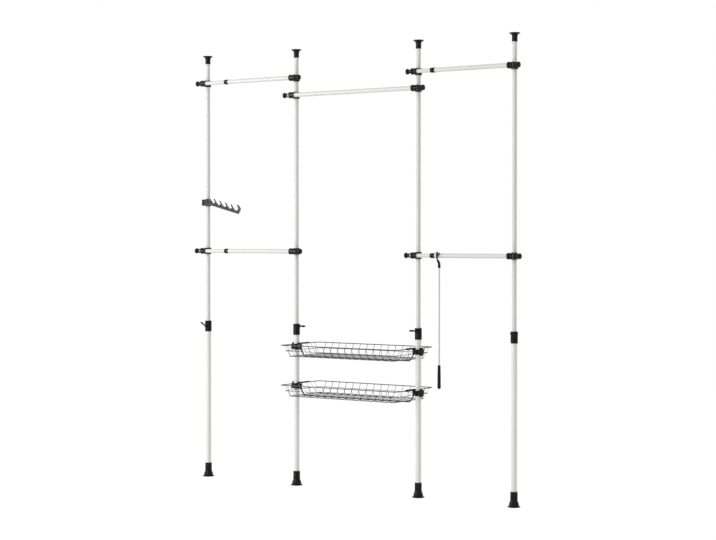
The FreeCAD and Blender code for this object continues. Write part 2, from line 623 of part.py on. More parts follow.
def bracket(name, post, rim):
    """Split clamp on the post, with a block, a bar hooked over the rim and a lug for the knob."""
    side = 1 if post == 2 else -1
    x = POST[post]
    base = f"{rim} - bracket_drop - bracket_height"
    near = x if side > 0 else f"{x} - bracket_block"
    bar_x = f"{x} + {side} * basket_gap"
    lug_x = f"{x} - lug_reach" if side > 0 else f"{x} + lug_reach - lug_length"
    lug_y = "0" if side > 0 else "0 - knob_offset - lug_width"
    bar_y = "0 - bracket_bar_start" if side > 0 else "bracket_bar_start - bracket_bar"
    parts = [
        cylinder(name + "_ring", "bracket_radius", "bracket_height", (x, "0", base)),
        box(name + "_block", ("bracket_block", "bracket_block_width", "bracket_height"),
            (near, "0 - bracket_block_width / 2", base)),
        box(name + "_bar", ("bracket_bar_width", "bracket_bar", "bracket_drop + bracket_bar_rise"),
            (f"{bar_x} - bracket_bar_width / 2", bar_y, f"{rim} - bracket_drop")),
        box(name + "_lug", ("lug_length", "knob_offset + lug_width", "lug_width * 2"),
            (lug_x, lug_y, f"{rim} - knob_drop - lug_width")),
    ]
    groove_x = f"{bar_x} - rim_radius - groove_gap" if side > 0 else f"{bar_x} - bracket_bar_width"
    tools = [
        cylinder(name + "_bore", "lower_radius + slide_gap", "bracket_height * 2", (x, "0", f"{base} - bracket_height / 2")),
        box(name + "_groove", ("rim_radius + groove_gap + bracket_bar_width", "bracket_bar + 2",
                               "bracket_drop + rim_radius + groove_gap"),
            (groove_x, f"{bar_y} - 1", f"{rim} - bracket_drop")),
        cylinder(name + "_hole", "knob_stem + running_gap", "lug_length + 2",
                 (f"{lug_x} - 1", f"{-side} * (0 - knob_offset)", f"{rim} - knob_drop"), "x"),
    ]
    return cut(name, fuse(name + "_solid", parts), tools)


def clamp_knob(name, post, rim):
    """Lobed hand knob on a threaded stem, drawn along +X and turned for the left brackets."""
    radius, start = size("knob_radius"), size("knob_start")
    reach = size("lug_reach")
    disc = Part.makeCylinder(radius, size("knob_thick"), V(start, 0, 0), V(1, 0, 0))
    hub = Part.makeCone(size("knob_hub_start"), size("knob_hub_end"), size("knob_hub"),
                        V(start - size("knob_hub"), 0, 0), V(1, 0, 0))
    stem = Part.makeCylinder(size("knob_stem"), start - reach + size("lug_length"),
                             V(reach - size("lug_length"), 0, 0), V(1, 0, 0))
    count = int(size("knob_lobes"))
    out = radius + size("lobe_out")
    hollows = []
    for index in range(count):
        angle = 2 * math.pi * index / count
        centre = V(start, math.cos(angle) * out, math.sin(angle) * out)
        hollows.append(Part.makeCylinder(size("lobe_radius"), size("knob_thick"), centre, V(1, 0, 0)))
    shape = disc.cut(Part.makeCompound(hollows)).fuse([hub, stem]).removeSplitter()
    shape.translate(V(0, -size("knob_offset"), 0))
    if post == 2:
        shape.rotate(V(), V(0, 0, 1), 180)
    shape.translate(V(size(POST[post]), 0, rim - size("knob_drop")))
    return feature(name, shape)


for label, rim in BASKETS.items():
    height = size(rim)
    node(label, [wire_basket(label + "_wires", height)])
    node(f"{label}_support_frame", [support_frame(label + "_bar", height)])
    node(f"{label}_brackets", [bracket(f"{label}_bracket_{post}", post, rim) for post in (2, 3)])
    for side, post in (("left", 2), ("right", 3)):
        node(f"{label}_{side}_knob", [clamp_knob(f"{label}_knob_{post}", post, height)])


# Hook strip

def hook_strip(name):
    """Clamp ring on the left post and a sloping strip of upturned hooks."""
    pitch, fall = size("hook_pitch"), size("hook_fall")
    first, depth, hollow = size("hook_first"), size("hook_depth"), size("hook_round")
    web, thick = size("strip_web"), size("strip_thick")
    height, outside = size("strip_clamp"), size("strip_clamp_radius")
    front = size("strip_offset") + thick / 2
    start = size("strip_start")
    end = first + pitch * (HOOKS - 1)

    def line(distance):
        return -(distance - first) * fall / pitch - size("strip_drop")

    def outline(x, table):
        return [V(x + a * depth, 0, line(x) + b * depth) for a, b in table]

    points = [V(start, 0, line(start) - web), V(end + web, 0, line(end + web) - web)]
    points += outline(end, END_HOOK)
    for index in reversed(range(HOOKS)):
        x = first + pitch * index
        points += [V(x + hollow, 0, line(x)), V(x - hollow, 0, line(x))]
        if index:
            points += outline(x, SPIKE_BACK) + outline(x - pitch, SPIKE_TIP)
    points += outline(first, FIRST_SHOULDER)
    points.append(V(start, 0, line(start) + web))
    strip = Part.Face(Part.makePolygon(points + points[:1])).extrude(V(0, thick, 0))
    strip.translate(V(0, -front, 0))
    ring = Part.makeCylinder(outside, height, V(0, 0, -height / 2))
    block_height = size("strip_block_height")
    block = Part.makeBox(size("strip_block"), front, block_height,
                         V(-size("strip_block_start"), -front, -block_height / 2))
    bore = Part.makeCylinder(size("upper_radius + slide_gap"), height * 2, V(0, 0, -height))
    shape = ring.fuse([block, strip]).cut(bore).removeSplitter()
    shape.translate(V(size(POST[1]), 0, size(f"{LOWER_LEFT} + strip_rise")))
    return feature(name, shape)


node("hook_strip", [hook_strip("strip")])


# Reach pole

POLE_X = f"({POST[3]} + pole_x)"
POLE_Y = "(0 - rail_offset - pole_forward)"


def pole_head(name):
    """A hook over the rail, a stem that swings sideways to the rod, and a small upper prong."""
    radius, forward, shift = size("hook_wire"), size("pole_forward"), size("pole_shift")
    drop, tip = size("pole_top"), size("pole_hook_tip")
    turn = math.radians(size("pole_hook_turn"))
    inside = size("rail_radius + hook_wire + slide_gap") / math.cos(turn)
    across = V(-math.sin(turn), math.cos(turn), 0) * inside
    front = V(-shift, forward - across.y, 0)
    middle = front + across
    ring = Part.makeTorus(inside, radius, middle, V(math.cos(turn), math.sin(turn), 0))
    keep = Part.makeBox(inside * 4, inside * 4, inside * 2, middle - V(inside * 2, inside * 2, 0))
    back = middle + across
    parts = [ring.common(keep), Part.makeCylinder(radius, tip, back - V(0, 0, tip), V(0, 0, 1))]
    path = [front, V(-shift, 0, -size("pole_stem_start")),
            V(-shift * 0.4, 0, -size("pole_stem_middle")), V(0, 0, -size("pole_stem_end"))]
    for start, stop in zip(path, path[1:]):
        parts.append(Part.makeCylinder(radius, (stop - start).Length, start, stop - start))
        parts.append(Part.makeSphere(radius, stop))
    parts.append(Part.makeCone(size("head_socket_radius"), size("head_neck_radius"), size("head_socket"),
                               V(0, 0, -drop), V(0, 0, 1)))
    prong = V(size("prong_reach"), 0, size("prong_rise"))
    prong_radius = size("prong_radius")
    parts.append(Part.makeCylinder(prong_radius, prong.Length, path[0], prong))
    parts.append(Part.makeSphere(prong_radius, path[0] + prong))
    head = parts[0].fuse(parts[1:])
    head = head.cut(Part.makeCylinder(size("pole_rod_radius"), size("head_bore"), V(0, 0, -drop), V(0, 0, 1)))
    head.translate(V(size(POLE_X), size(POLE_Y), size(LOWER_RIGHT)))
    return feature(name, head)


def pole_handle(name):
    length, radius = size("handle_length"), size("handle_radius")
    grip = Part.makeCone(radius, size("handle_neck"), length - radius)
    socket = Part.makeCylinder(size("pole_rod_radius"), size("rod_socket"),
                               V(0, 0, length - radius - size("rod_socket")))
    solid = grip.fuse(Part.makeSphere(radius)).cut(socket)
    solid.translate(V(size(POLE_X), size(POLE_Y), size(f"{LOWER_RIGHT} - pole_length") + radius))
    return feature(name, solid)


node("reach_pole_head", [pole_head("head")])
node("reach_pole_rod", [cylinder(
    "rod", "pole_rod_radius", "pole_length - handle_length - pole_top + rod_socket + head_bore",
    (POLE_X, POLE_Y, f"{LOWER_RIGHT} - pole_length + handle_length - rod_socket"))])
node("reach_pole_handle", [pole_handle("handle")])

# Checks and files

doc.recompute()
failed = [obj.Name for obj in doc.Objects if {"Invalid", "Error"} & set(obj.State)]
if failed:
    raise RuntimeError("failed objects: " + ", ".join(failed))
os.makedirs("parts", exist_ok=True)
for label, obj in NODES.items():
    shape = obj.Shape
    if shape.isNull() or not shape.isValid() or not shape.Solids:
        raise RuntimeError(f"{label} has no valid solid")
    shape.exportStep(f"parts/{label}.step")
print(len(NODES), "nodes,", sum(len(obj.Shape.Solids) for obj in NODES.values()), "solids")
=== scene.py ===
import json
import math

import bmesh
import bpy
from bpy.props import FloatProperty, IntProperty, PointerProperty, StringProperty
from mathutils import Matrix, Vector
from mathutils.geometry import tessellate_polygon

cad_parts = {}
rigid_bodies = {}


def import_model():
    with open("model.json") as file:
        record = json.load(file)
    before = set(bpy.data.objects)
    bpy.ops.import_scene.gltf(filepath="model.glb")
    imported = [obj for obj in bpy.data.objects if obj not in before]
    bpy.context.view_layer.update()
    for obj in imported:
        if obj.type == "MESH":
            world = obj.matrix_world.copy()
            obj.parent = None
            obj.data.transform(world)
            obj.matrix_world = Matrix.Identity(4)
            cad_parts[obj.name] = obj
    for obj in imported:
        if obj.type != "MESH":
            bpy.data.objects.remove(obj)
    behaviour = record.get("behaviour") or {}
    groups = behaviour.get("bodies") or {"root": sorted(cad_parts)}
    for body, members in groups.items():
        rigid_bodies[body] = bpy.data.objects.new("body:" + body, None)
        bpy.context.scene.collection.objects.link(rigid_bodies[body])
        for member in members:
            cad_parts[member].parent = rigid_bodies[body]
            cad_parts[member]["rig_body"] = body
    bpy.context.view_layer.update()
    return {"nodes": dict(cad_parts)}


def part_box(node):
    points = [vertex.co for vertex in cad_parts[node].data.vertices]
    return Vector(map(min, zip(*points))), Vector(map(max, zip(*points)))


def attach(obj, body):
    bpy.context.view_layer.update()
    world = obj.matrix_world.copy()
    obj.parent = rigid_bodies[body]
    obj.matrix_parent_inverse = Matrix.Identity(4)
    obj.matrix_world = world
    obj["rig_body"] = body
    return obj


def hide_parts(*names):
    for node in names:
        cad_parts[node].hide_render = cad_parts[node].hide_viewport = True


bl_info = {
    "name": "Telescopic Clothes Rack",
    "version": (1, 0, 0),
    "blender": (4, 5, 0),
    "location": "3D View > Sidebar > Clothes Rack",
    "description": "Dresses a floor-to-ceiling telescopic clothes rack around its packed frame",
    "category": "Object",
}

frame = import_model()

MM = 0.001
NODES = frame["nodes"]


def middle(node):
    low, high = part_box(node)
    return (low + high) / 2


def span(node):
    low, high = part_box(node)
    return high - low


def end_x(node, direction):
    """X of a node's left end (direction -1) or right end (direction 1)."""
    low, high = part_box(node)
    return low.x if direction < 0 else high.x


X_AXIS = Vector((1, 0, 0))
Y_AXIS = Vector((0, 1, 0))
Z_AXIS = Vector((0, 0, 1))

# Posts are numbered from the left
LOWER_RADIUS = span("left_lower_tube").x / 2
UPPER_RADIUS = span("left_upper_tube").x / 2
POST_X = {
    1: middle("left_lower_tube").x,
    2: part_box("middle_lower_tubes")[0].x + LOWER_RADIUS,
    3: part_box("middle_lower_tubes")[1].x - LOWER_RADIUS,
    4: middle("right_lower_tube").x,
}
MIDDLE_POSTS = (2, 3)
RAIL_POSTS = {"upper_left_rail": (1, 2), "lower_left_rail": (1, 2),
              "upper_right_rail": (3, 4), "lower_right_rail": (3, 4)}
RAIL_Y = middle("middle_rail_tube").y
BASKETS = ("upper_basket", "lower_basket")

# Gaps round a tube that slides through a moulding, and round one that is pressed into it
LOOSE, TIGHT = 0.3 * MM, 0.05 * MM

NYLON, THIN_COAT, WIRE_COAT = "black_nylon", "powder_coated_thin_tube", "powder_coated_wire"


# Sizes and colours that a user would change


def length_property(name, description, default):
    return FloatProperty(name=name, description=description, default=default, unit="LENGTH", precision=4)


def colour_property(name, description, default):
    return StringProperty(name=name, description=f"{description}, sRGB hex", default=default)


class RackSizes(bpy.types.PropertyGroup):
    edge: length_property("Edge rounding", "Radius of moulded edges", 1.2 * MM)
    foot_rib: length_property("Foot rib depth", "Depth of the ribs on a foot's bell", 1.3 * MM)
    collar_rib: length_property("Collar rib depth", "Depth of the grip ribs on a lock collar", 1.3 * MM)
    foot_ribs: IntProperty(name="Foot ribs", description="Ribs round a foot", default=16, min=6)
    collar_ribs: IntProperty(name="Collar ribs", description="Ribs round a lock collar", default=16, min=6)
    knob_lobes: IntProperty(name="Knob lobes", description="Finger lobes on a basket knob", default=8, min=3)
    rim_wire: length_property("Rim wire", "Radius of a basket's rim wire", 2.5 * MM)
    mesh_wire: length_property("Mesh wire", "Radius of a basket's mesh wires", 1.3 * MM)
    wire_pitch: length_property("Wire pitch", "Spacing of the basket's wires", 49 * MM)


class RackColours(bpy.types.PropertyGroup):
    tube: colour_property("Tube coat", "Powder coat of the lower posts", "E2E2DD")
    thin_tube: colour_property("Thin tube coat", "Coat of the upper posts and rails", "D4D4D1")
    plastic: colour_property("Moulding", "Black nylon of feet, clamps and caps", "0C0C0B")
    strip: colour_property("Hook strip web", "Grey web of the hook strip", "363635")
    wire: colour_property("Basket coat", "Dark coat of the basket wires", "343435")
    rod: colour_property("Pole rod", "Light coat of the reach pole's rod", "CFCFCB")
    floor: colour_property("Floor", "Pale studio floor", "F6F6F6")


def sizes():
    return bpy.context.scene.rack_sizes


def colours():
    return bpy.context.scene.rack_colours


# Materials

# A Mix node's sockets for its two colours and their blend
MIX_A, MIX_B, MIX_RESULT = 6, 7, 2


def linear(code):
    """An sRGB hex value as linear RGBA."""
    values = [int(code[i:i + 2], 16) / 255 for i in (0, 2, 4)]
    return [v / 12.92 if v <= 0.04045 else ((v + 0.055) / 1.055) ** 2.4 for v in values] + [1.0]


def add_node(owner, kind, settings=(), links=()):
    """Adds one node with its settings to a material or world, and links (own input, other node, its output)."""
    node = owner.node_tree.nodes.new(kind)
    for name, value in dict(settings).items():
        if name in node.inputs:
            node.inputs[name].default_value = value
        else:
            setattr(node, name, value)
    for own, other, output in links:
        owner.node_tree.links.new(other.outputs[output], node.inputs[own])
    return node


def new_material(name):
    """An empty node material and the node of its texture coordinates."""
    material = bpy.data.materials.new(name)
    material.use_nodes = True
    material.node_tree.nodes.clear()
    return material, add_node(material, "ShaderNodeTexCoord")


def finish_material(material, shader):
    add_node(material, "ShaderNodeOutputMaterial", (), [("Surface", shader, 0)])
    return material


def noise(material, place, scale, detail=2.0):
    return add_node(material, "ShaderNodeTexNoise", {"Scale": scale, "Detail": detail}, [("Vector", place, "Object")])


def roughness_range(material, source, low, high):
    return add_node(material, "ShaderNodeMapRange", {"To Min": low, "To Max": high}, [("Value", source, "Fac")])


def mottled_tone(material, cloud, code, dark, light):
    """A colour that drifts with a cloud texture between two shades."""
    tone = add_node(material, "ShaderNodeMix", {"data_type": "RGBA"}, [("Factor", cloud, "Fac")])
    for socket, factor in ((MIX_A, dark), (MIX_B, light)):
        tone.inputs[socket].default_value = [c * factor for c in linear(code)[:3]] + [1.0]
    return tone


def finish_mottled(material, settings, tone, rough, bump):
    shader = add_node(material, "ShaderNodeBsdfPrincipled", settings,
                      [("Base Color", tone, MIX_RESULT), ("Roughness", rough, "Result"), ("Normal", bump, "Normal")])
    return finish_material(material, shader)


def coated_metal(name, code, roughness, peel_mm, peel_height_mm):
    """Steel with a baked powder coat: an even colour, a soft sheen and a faint orange peel."""
    material, place = new_material(name)
    cloud = noise(material, place, 9.0, 3.0)
    tone = mottled_tone(material, cloud, code, 0.96, 1.03)
    peel = noise(material, place, 1 / (peel_mm * MM))
    rough = roughness_range(material, cloud, roughness - 0.05, roughness + 0.06)
    bump = add_node(material, "ShaderNodeBump", {"Strength": 0.35, "Distance": peel_height_mm * MM},
                    [("Height", peel, "Fac")])
    return finish_mottled(material, {"IOR": 1.5, "Coat Weight": 0.15, "Coat Roughness": 0.25}, tone, rough, bump)


def moulded_nylon(name, code, roughness, grain_mm=0.9):
    """Injection-moulded nylon from a spark-eroded tool: fine grain, edges rubbed a little shinier."""
    material, place = new_material(name)
    tone = mottled_tone(material, noise(material, place, 30.0, 4.0), code, 0.85, 1.2)
    grain = add_node(material, "ShaderNodeTexVoronoi", {"Scale": 1 / (grain_mm * MM)}, [("Vector", place, "Object")])
    shape = add_node(material, "ShaderNodeNewGeometry")
    worn = add_node(material, "ShaderNodeMapRange",
                    {"From Min": 0.5, "From Max": 0.62, "To Min": roughness, "To Max": roughness - 0.12},
                    [("Value", shape, "Pointiness")])
    bump = add_node(material, "ShaderNodeBump", {"Strength": 0.3, "Distance": 0.08 * MM},
                    [("Height", grain, "Distance")])
    return finish_mottled(material, {"IOR": 1.53, "Specular IOR Level": 0.18}, tone, worn, bump)


def plated_steel(name):
    """Zinc-plated screw steel: a bright metal with fine turning marks."""
    material, place = new_material(name)
    rough = roughness_range(material, noise(material, place, 900.0), 0.25, 0.42)
    shader = add_node(material, "ShaderNodeBsdfPrincipled", {"Metallic": 1.0, "Base Color": linear("B4B6B8")},
                      [("Roughness", rough, "Result")])
    return finish_material(material, shader)


def studio_floor(name, code):
    """A matt pale floor that the camera sees as nearly white, and that keeps the shadow."""
    material, place = new_material(name)
    ray = add_node(material, "ShaderNodeLightPath")
    amount = add_node(material, "ShaderNodeMath", {"operation": "MULTIPLY"}, [(0, ray, "Is Camera Ray")])
    amount.inputs[1].default_value = 0.85
    rough = roughness_range(material, noise(material, place, 3.0), 0.85, 0.95)
    matt = add_node(material, "ShaderNodeBsdfPrincipled", {"Base Color": linear(code), "Specular IOR Level": 0.1},
                    [("Roughness", rough, "Result")])
    glow = add_node(material, "ShaderNodeEmission", {"Color": (1, 1, 1, 1), "Strength": 1.08})
    mix = add_node(material, "ShaderNodeMixShader", (), [(0, amount, 0), (1, matt, 0), (2, glow, 0)])
    return finish_material(material, mix)


def material(key):
    """Makes each finish once."""
    makers = {
        "powder_coated_tube": lambda: coated_metal(key, colours().tube, 0.40, 1.6, 0.05),
        THIN_COAT: lambda: coated_metal(key, colours().thin_tube, 0.40, 1.6, 0.05),
        WIRE_COAT: lambda: coated_metal(key, colours().wire, 0.42, 1.2, 0.05),
        "coated_rod": lambda: coated_metal(key, colours().rod, 0.38, 1.4, 0.04),
        NYLON: lambda: moulded_nylon(key, colours().plastic, 0.22),
        "grey_nylon": lambda: moulded_nylon(key, colours().strip, 0.5),
        "zinc_plated_screw": lambda: plated_steel(key),
        "studio_floor": lambda: studio_floor(key, colours().floor),
    }
    return bpy.data.materials.get(key) or makers[key]()


# Mesh building

SMOOTH_ANGLE = math.radians(40)
# Below these, two points are one and a radius is zero
WELD, ON_AXIS = 1e-6, 1e-7
# No rounding takes more than this share of the straight beside it
ROOM = 0.45
OVAL_SEGMENTS, KNOB_SEGMENTS = 20, 96


def in_mm(table):
    """Rows of numbers in mm as rows in metres."""
    return [tuple(value * MM for value in row) for row in table]


def turns(count):
    """Even angles round a circle."""
    return [2 * math.pi * index / count for index in range(count)]


def bend_route(points, radius, steps=5):
    """Rounds the corners of an open route, flat or in space."""
    out = [Vector(points[0])]
    for before, here, after in zip(points, points[1:], points[2:]):
        a, p, b = Vector(before), Vector(here), Vector(after)
        cut = min(radius, (a - p).length * ROOM, (b - p).length * ROOM)
        start, stop = p + (a - p).normalized() * cut, p + (b - p).normalized() * cut
        for index in range(steps + 1):
            t = index / steps
            out.append(start * (1 - t) ** 2 + p * (2 * t * (1 - t)) + stop * t * t)
    out.append(Vector(points[-1]))
    return out


def soften(points, radius, steps=4):
    """Rounds the inner corners of an open outline of (a, b) points."""
    return [tuple(point) for point in bend_route(points, radius, steps)]


def skin(mesh, rows):
    """Adds the faces between neighbouring rows of vertices, each a ring or a single point."""
    for low, high in zip(rows, rows[1:]):
        count = max(len(low), len(high))
        for index in range(count):
            after = (index + 1) % count
            corners = dict.fromkeys((low[index % len(low)], low[after % len(low)],
                                     high[after % len(high)], high[index % len(high)]))
            if len(corners) > 2:
                mesh.faces.new(list(corners))


def close_ends(mesh, rows):
    mesh.faces.new(rows[0][::-1])
    mesh.faces.new(rows[-1])


def lathe(profile, origin=(0, 0, 0), axis=Z_AXIS, segments=40, ribs=None):
    """Turns a (radius, along) profile about an axis; ribs are (count, depth, from, to)."""
    mesh = bmesh.new()
    rows = []
    for radius, along in profile:
        if radius < ON_AXIS:
            rows.append([mesh.verts.new((0, 0, along))])
            continue
        row = []
        for angle in turns(segments):
            out = radius
            if ribs and ribs[2] <= along <= ribs[3]:
                out += ribs[1] * 0.5 * (1 + math.cos(ribs[0] * angle))
            row.append(mesh.verts.new((out * math.cos(angle), out * math.sin(angle), along)))
        rows.append(row)
    skin(mesh, rows)
    turn = Z_AXIS.rotation_difference(Vector(axis)).to_matrix().to_4x4()
    mesh.transform(Matrix.Translation(Vector(origin)) @ turn)
    return mesh


def ring(inner, outer, low, high, edge, origin):
    """A ring about Z with all its edges rounded."""
    start = ((inner + outer) / 2, low)
    profile = soften([start, (outer, low), (outer, high), (inner, high), (inner, low), start], edge)
    return lathe(profile, origin, segments=48)


def sleeve_profile(inner, outer, low, high, edge):
    """Profile of a sleeve with a sharp edge at its bore's start."""
    return soften([(inner, low), (outer, low), (outer, high), (inner, high), (inner, low)], edge)


def rounded_box(corner, opposite, edge):
    """A box between two opposite corners, with rounded edges."""
    mesh = bmesh.new()
    bmesh.ops.create_cube(mesh, size=1.0)
    low, high = (Vector([end(pair) for pair in zip(corner, opposite)]) for end in (min, max))
    extent = high - low
    mesh.transform(Matrix.Translation((low + high) / 2) @ Matrix.Diagonal((*extent, 1)))
    bmesh.ops.bevel(mesh, geom=mesh.edges[:], offset=min(edge, min(extent) * ROOM), segments=3, profile=0.6,
                    affect="EDGES")
    return mesh


def oval_loft(sections, depth):
    """Skins ovals across X at a depth: each section is (x, half thickness in Y, half height in Z)."""
    mesh = bmesh.new()
    rows = [[mesh.verts.new((x, depth + thick * math.cos(angle), high * math.sin(angle)))
             for angle in turns(OVAL_SEGMENTS)] for x, thick, high in sections]
    skin(mesh, rows)
    close_ends(mesh, rows)
    return mesh


def merge(parts):
    """Joins closed shells into one mesh."""
    whole = bmesh.new()
    for part in parts:
        data = bpy.data.meshes.new("shell")
        part.to_mesh(data)
        part.free()
        whole.from_mesh(data)
        bpy.data.meshes.remove(data)
    return whole


def add_object(name, data, finish=None):
    obj = bpy.data.objects.new(name, data)
    bpy.context.scene.collection.objects.link(obj)
    if finish:
        data.materials.append(material(finish))
    return obj


def finish_mesh(name, mesh, finish):
    """Turns a bmesh into a shaded object with its finish."""
    bmesh.ops.remove_doubles(mesh, verts=mesh.verts[:], dist=WELD)
    bmesh.ops.recalc_face_normals(mesh, faces=mesh.faces[:])
    data = bpy.data.meshes.new(name)
    mesh.to_mesh(data)
    mesh.free()
    data.shade_smooth()
    data.set_sharp_from_angle(angle=SMOOTH_ANGLE)
    return add_object(name, data, finish)


def fit_piece(obj, node):
    """The piece rides with the CAD node's body, and the node is hidden."""
    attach(obj, NODES[node]["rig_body"])
    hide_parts(node)


def moulding(name, mesh, node, finish=NYLON):
    """A finished mesh in the place of its node."""
    fit_piece(finish_mesh(name, mesh, finish), node)


# A wire's rounded end: shares of its radius along the wire and across it, from a point that is set back
DOME_SETBACK = 0.9
DOME = ((0.45, 0.89), (0.75, 0.66), (0.92, 0.39), (1.0, 0.05))


def domed(route, radius):
    """A route with the points of a rounded end added at both ends."""
    points = [Vector(p) for p in route]
    first = (points[0] - points[1]).normalized() * radius
    last = (points[-1] - points[-2]).normalized() * radius
    points[0] -= first * DOME_SETBACK
    points[-1] -= last * DOME_SETBACK
    head = [points[0] + first * along for along, _ in reversed(DOME)]
    return head + points + [points[-1] + last * along for along, _ in DOME]


def wire_curve(name, routes, radius, finish, closed=False, round_ends=False):
    """Round wires along lists of points, as one curve object."""
    shrink = {}
    if round_ends:
        routes = [domed(route, radius) for route in routes]
        shrink = {index: share for index, (_, share) in enumerate(reversed(DOME))}
    data = bpy.data.curves.new(name, "CURVE")
    data.dimensions = "3D"
    data.bevel_depth = radius
    data.bevel_resolution = 4
    data.use_fill_caps = not closed
    for route in routes:
        spline = data.splines.new("POLY")
        spline.points.add(len(route) - 1)
        for index, (point, place) in enumerate(zip(spline.points, route)):
            point.co = (*place, 1)
            point.radius = shrink.get(index, shrink.get(len(route) - 1 - index, 1.0))
        spline.use_cyclic_u = closed
    return add_object(name, data, finish)


# Posts

# Segments round a ribbed turning, for each rib
RIB_SEGMENTS = 6
# Outer face of a lock collar's boss, from the post's axis
BOSS_FACE = 24 * MM
# Each lever's side of the collar in Y, its direction in X, its tilt and its axis below the collar's top
LEVERS = {1: (-1, -1, math.radians(30), 30 * MM), 2: (1, 1, 0.0, 15 * MM), 3: (-1, -1, 0.0, 15 * MM),
          4: (1, -1, 0.0, 15 * MM)}
# The lever's paddle in mm: distance from its axis, half thickness and half height
PADDLE = ((2, 2.6, 5.6), (8, 2.5, 4.6), (15, 2.5, 4.4), (21, 2.6, 5.2), (27, 2.6, 6.0), (34, 2.5, 5.7),
          (40, 2.1, 4.2), (43, 1.5, 2.4), (44.6, 0.5, 0.8))


def on_posts(piece, plural, make):
    """Makes a piece for each post with make(post, x); the two middle posts share a node."""
    nodes = {1: f"left_{piece}", 2: f"middle_{plural}", 3: f"middle_{plural}", 4: f"right_{piece}"}
    for post, x in POST_X.items():
        moulding(f"{piece}_moulding_{post}", make(post, x), nodes[post])


def coat_tubes():
    """Tubes, bars and bushes keep their CAD shape and get their finish; the last word that fits wins."""
    finishes = {"tube": "powder_coated_tube", "upper_tube": THIN_COAT, "inner_tube": THIN_COAT,
                "outer_tube": THIN_COAT, "rail_tube": THIN_COAT, "support_frame": WIRE_COAT, "pole_rod": "coated_rod",
                "bush": NYLON}
    for name, obj in NODES.items():
        for word, finish in finishes.items():
            if word in name:
                obj.data.materials.clear()
                obj.data.materials.append(material(finish))


def build_feet():
    """Sleeve, concave flare, ribbed bell and a thin base disc."""
    height, disc = span("left_foot").z, span("left_foot").x / 2
    sleeve, bell, bore = 19.5 * MM, 26.4 * MM, LOWER_RADIUS + TIGHT
    neck = sleeve - 0.6 * MM
    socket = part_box("left_lower_tube")[0].z
    profile = soften([
        (0, 0), (disc - 2 * MM, 0), (disc, 1.2 * MM), (disc, 4.2 * MM), (disc - 2 * MM, 5.4 * MM),
        (bell + 0.6 * MM, 6.4 * MM), (bell, 8 * MM), (bell - 0.4 * MM, 14 * MM), (bell - 1 * MM, 19 * MM),
        (bell - 2.2 * MM, 23 * MM), (sleeve + 1.2 * MM, 29 * MM), (sleeve + 0.2 * MM, 34 * MM), (neck, 40 * MM),
        (neck, 47 * MM), (neck, height - 9 * MM), (sleeve, height - 7.5 * MM), (sleeve, height), (bore, height),
        (bore, socket), (0, socket)], sizes().edge * 0.8)
    ribs = (sizes().foot_ribs, sizes().foot_rib, 7 * MM, height - 9.5 * MM)
    segments = sizes().foot_ribs * RIB_SEGMENTS
    on_posts("foot", "feet", lambda _, x: lathe(profile, (x, 0, 0), segments=segments, ribs=ribs))


def build_ceiling_pads():
    """Sleeve, hollowed cone and flange under the ceiling."""
    height, flange = span("left_ceiling_pad").z, span("left_ceiling_pad").x / 2
    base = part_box("left_ceiling_pad")[1].z - height
    sleeve, bore = 15.5 * MM, UPPER_RADIUS + TIGHT
    tube_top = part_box("left_upper_tube")[1].z - base
    profile = soften([
        (0, tube_top), (bore, tube_top), (bore, 0), (sleeve, 0), (sleeve, height - 19 * MM),
        (sleeve + 1.6 * MM, height - 14 * MM), (sleeve + 5.5 * MM, height - 8.5 * MM),
        (flange - 3 * MM, height - 6 * MM), (flange, height - 5.4 * MM), (flange, height - 1 * MM),
        (flange - 1 * MM, height), (0, height)], sizes().edge * 0.7)
    on_posts("ceiling_pad", "ceiling_pads", lambda _, x: lathe(profile, (x, 0, base), segments=64))


def build_lock_collars():
    """Ribbed grip sleeve with plain end bands and a boss for the lever."""
    low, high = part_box("left_lock_collar")
    height, lip = high.z - low.z, high.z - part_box("left_lower_tube")[1].z
    outside, edge, rib = 20 * MM, sizes().edge, sizes().collar_rib
    core = outside - rib
    throat, seat = UPPER_RADIUS + LOOSE, LOWER_RADIUS + TIGHT
    profile = soften([
        (seat, 0), (outside, 0), (outside, 5 * MM), (core, 6.2 * MM), (core, 12 * MM), (core, 24 * MM),
        (core, 38 * MM), (core, height - 11.2 * MM), (outside, height - 10 * MM), (outside, height),
        (throat, height), (throat, height - lip), (seat, height - lip), (seat, 0)], edge * 0.6)
    ribs = (sizes().collar_ribs, rib, 6.3 * MM, height - 11.3 * MM)
    root, radius, bore, floor = 17.2 * MM, 8.5 * MM, 3.2 * MM, 18 * MM
    boss_profile = soften([(0, root), (radius, root), (radius, BOSS_FACE), (bore, BOSS_FACE), (bore, floor),
                           (0, floor)], edge * 0.4)

    def collar(post, x):
        side, _, _, drop = LEVERS[post]
        return merge([lathe(profile, (x, 0, low.z), segments=sizes().collar_ribs * RIB_SEGMENTS, ribs=ribs),
                      lathe(boss_profile, (x, 0, high.z - drop), axis=(0, side, 0), segments=32)])

    on_posts("lock_collar", "lock_collars", collar)


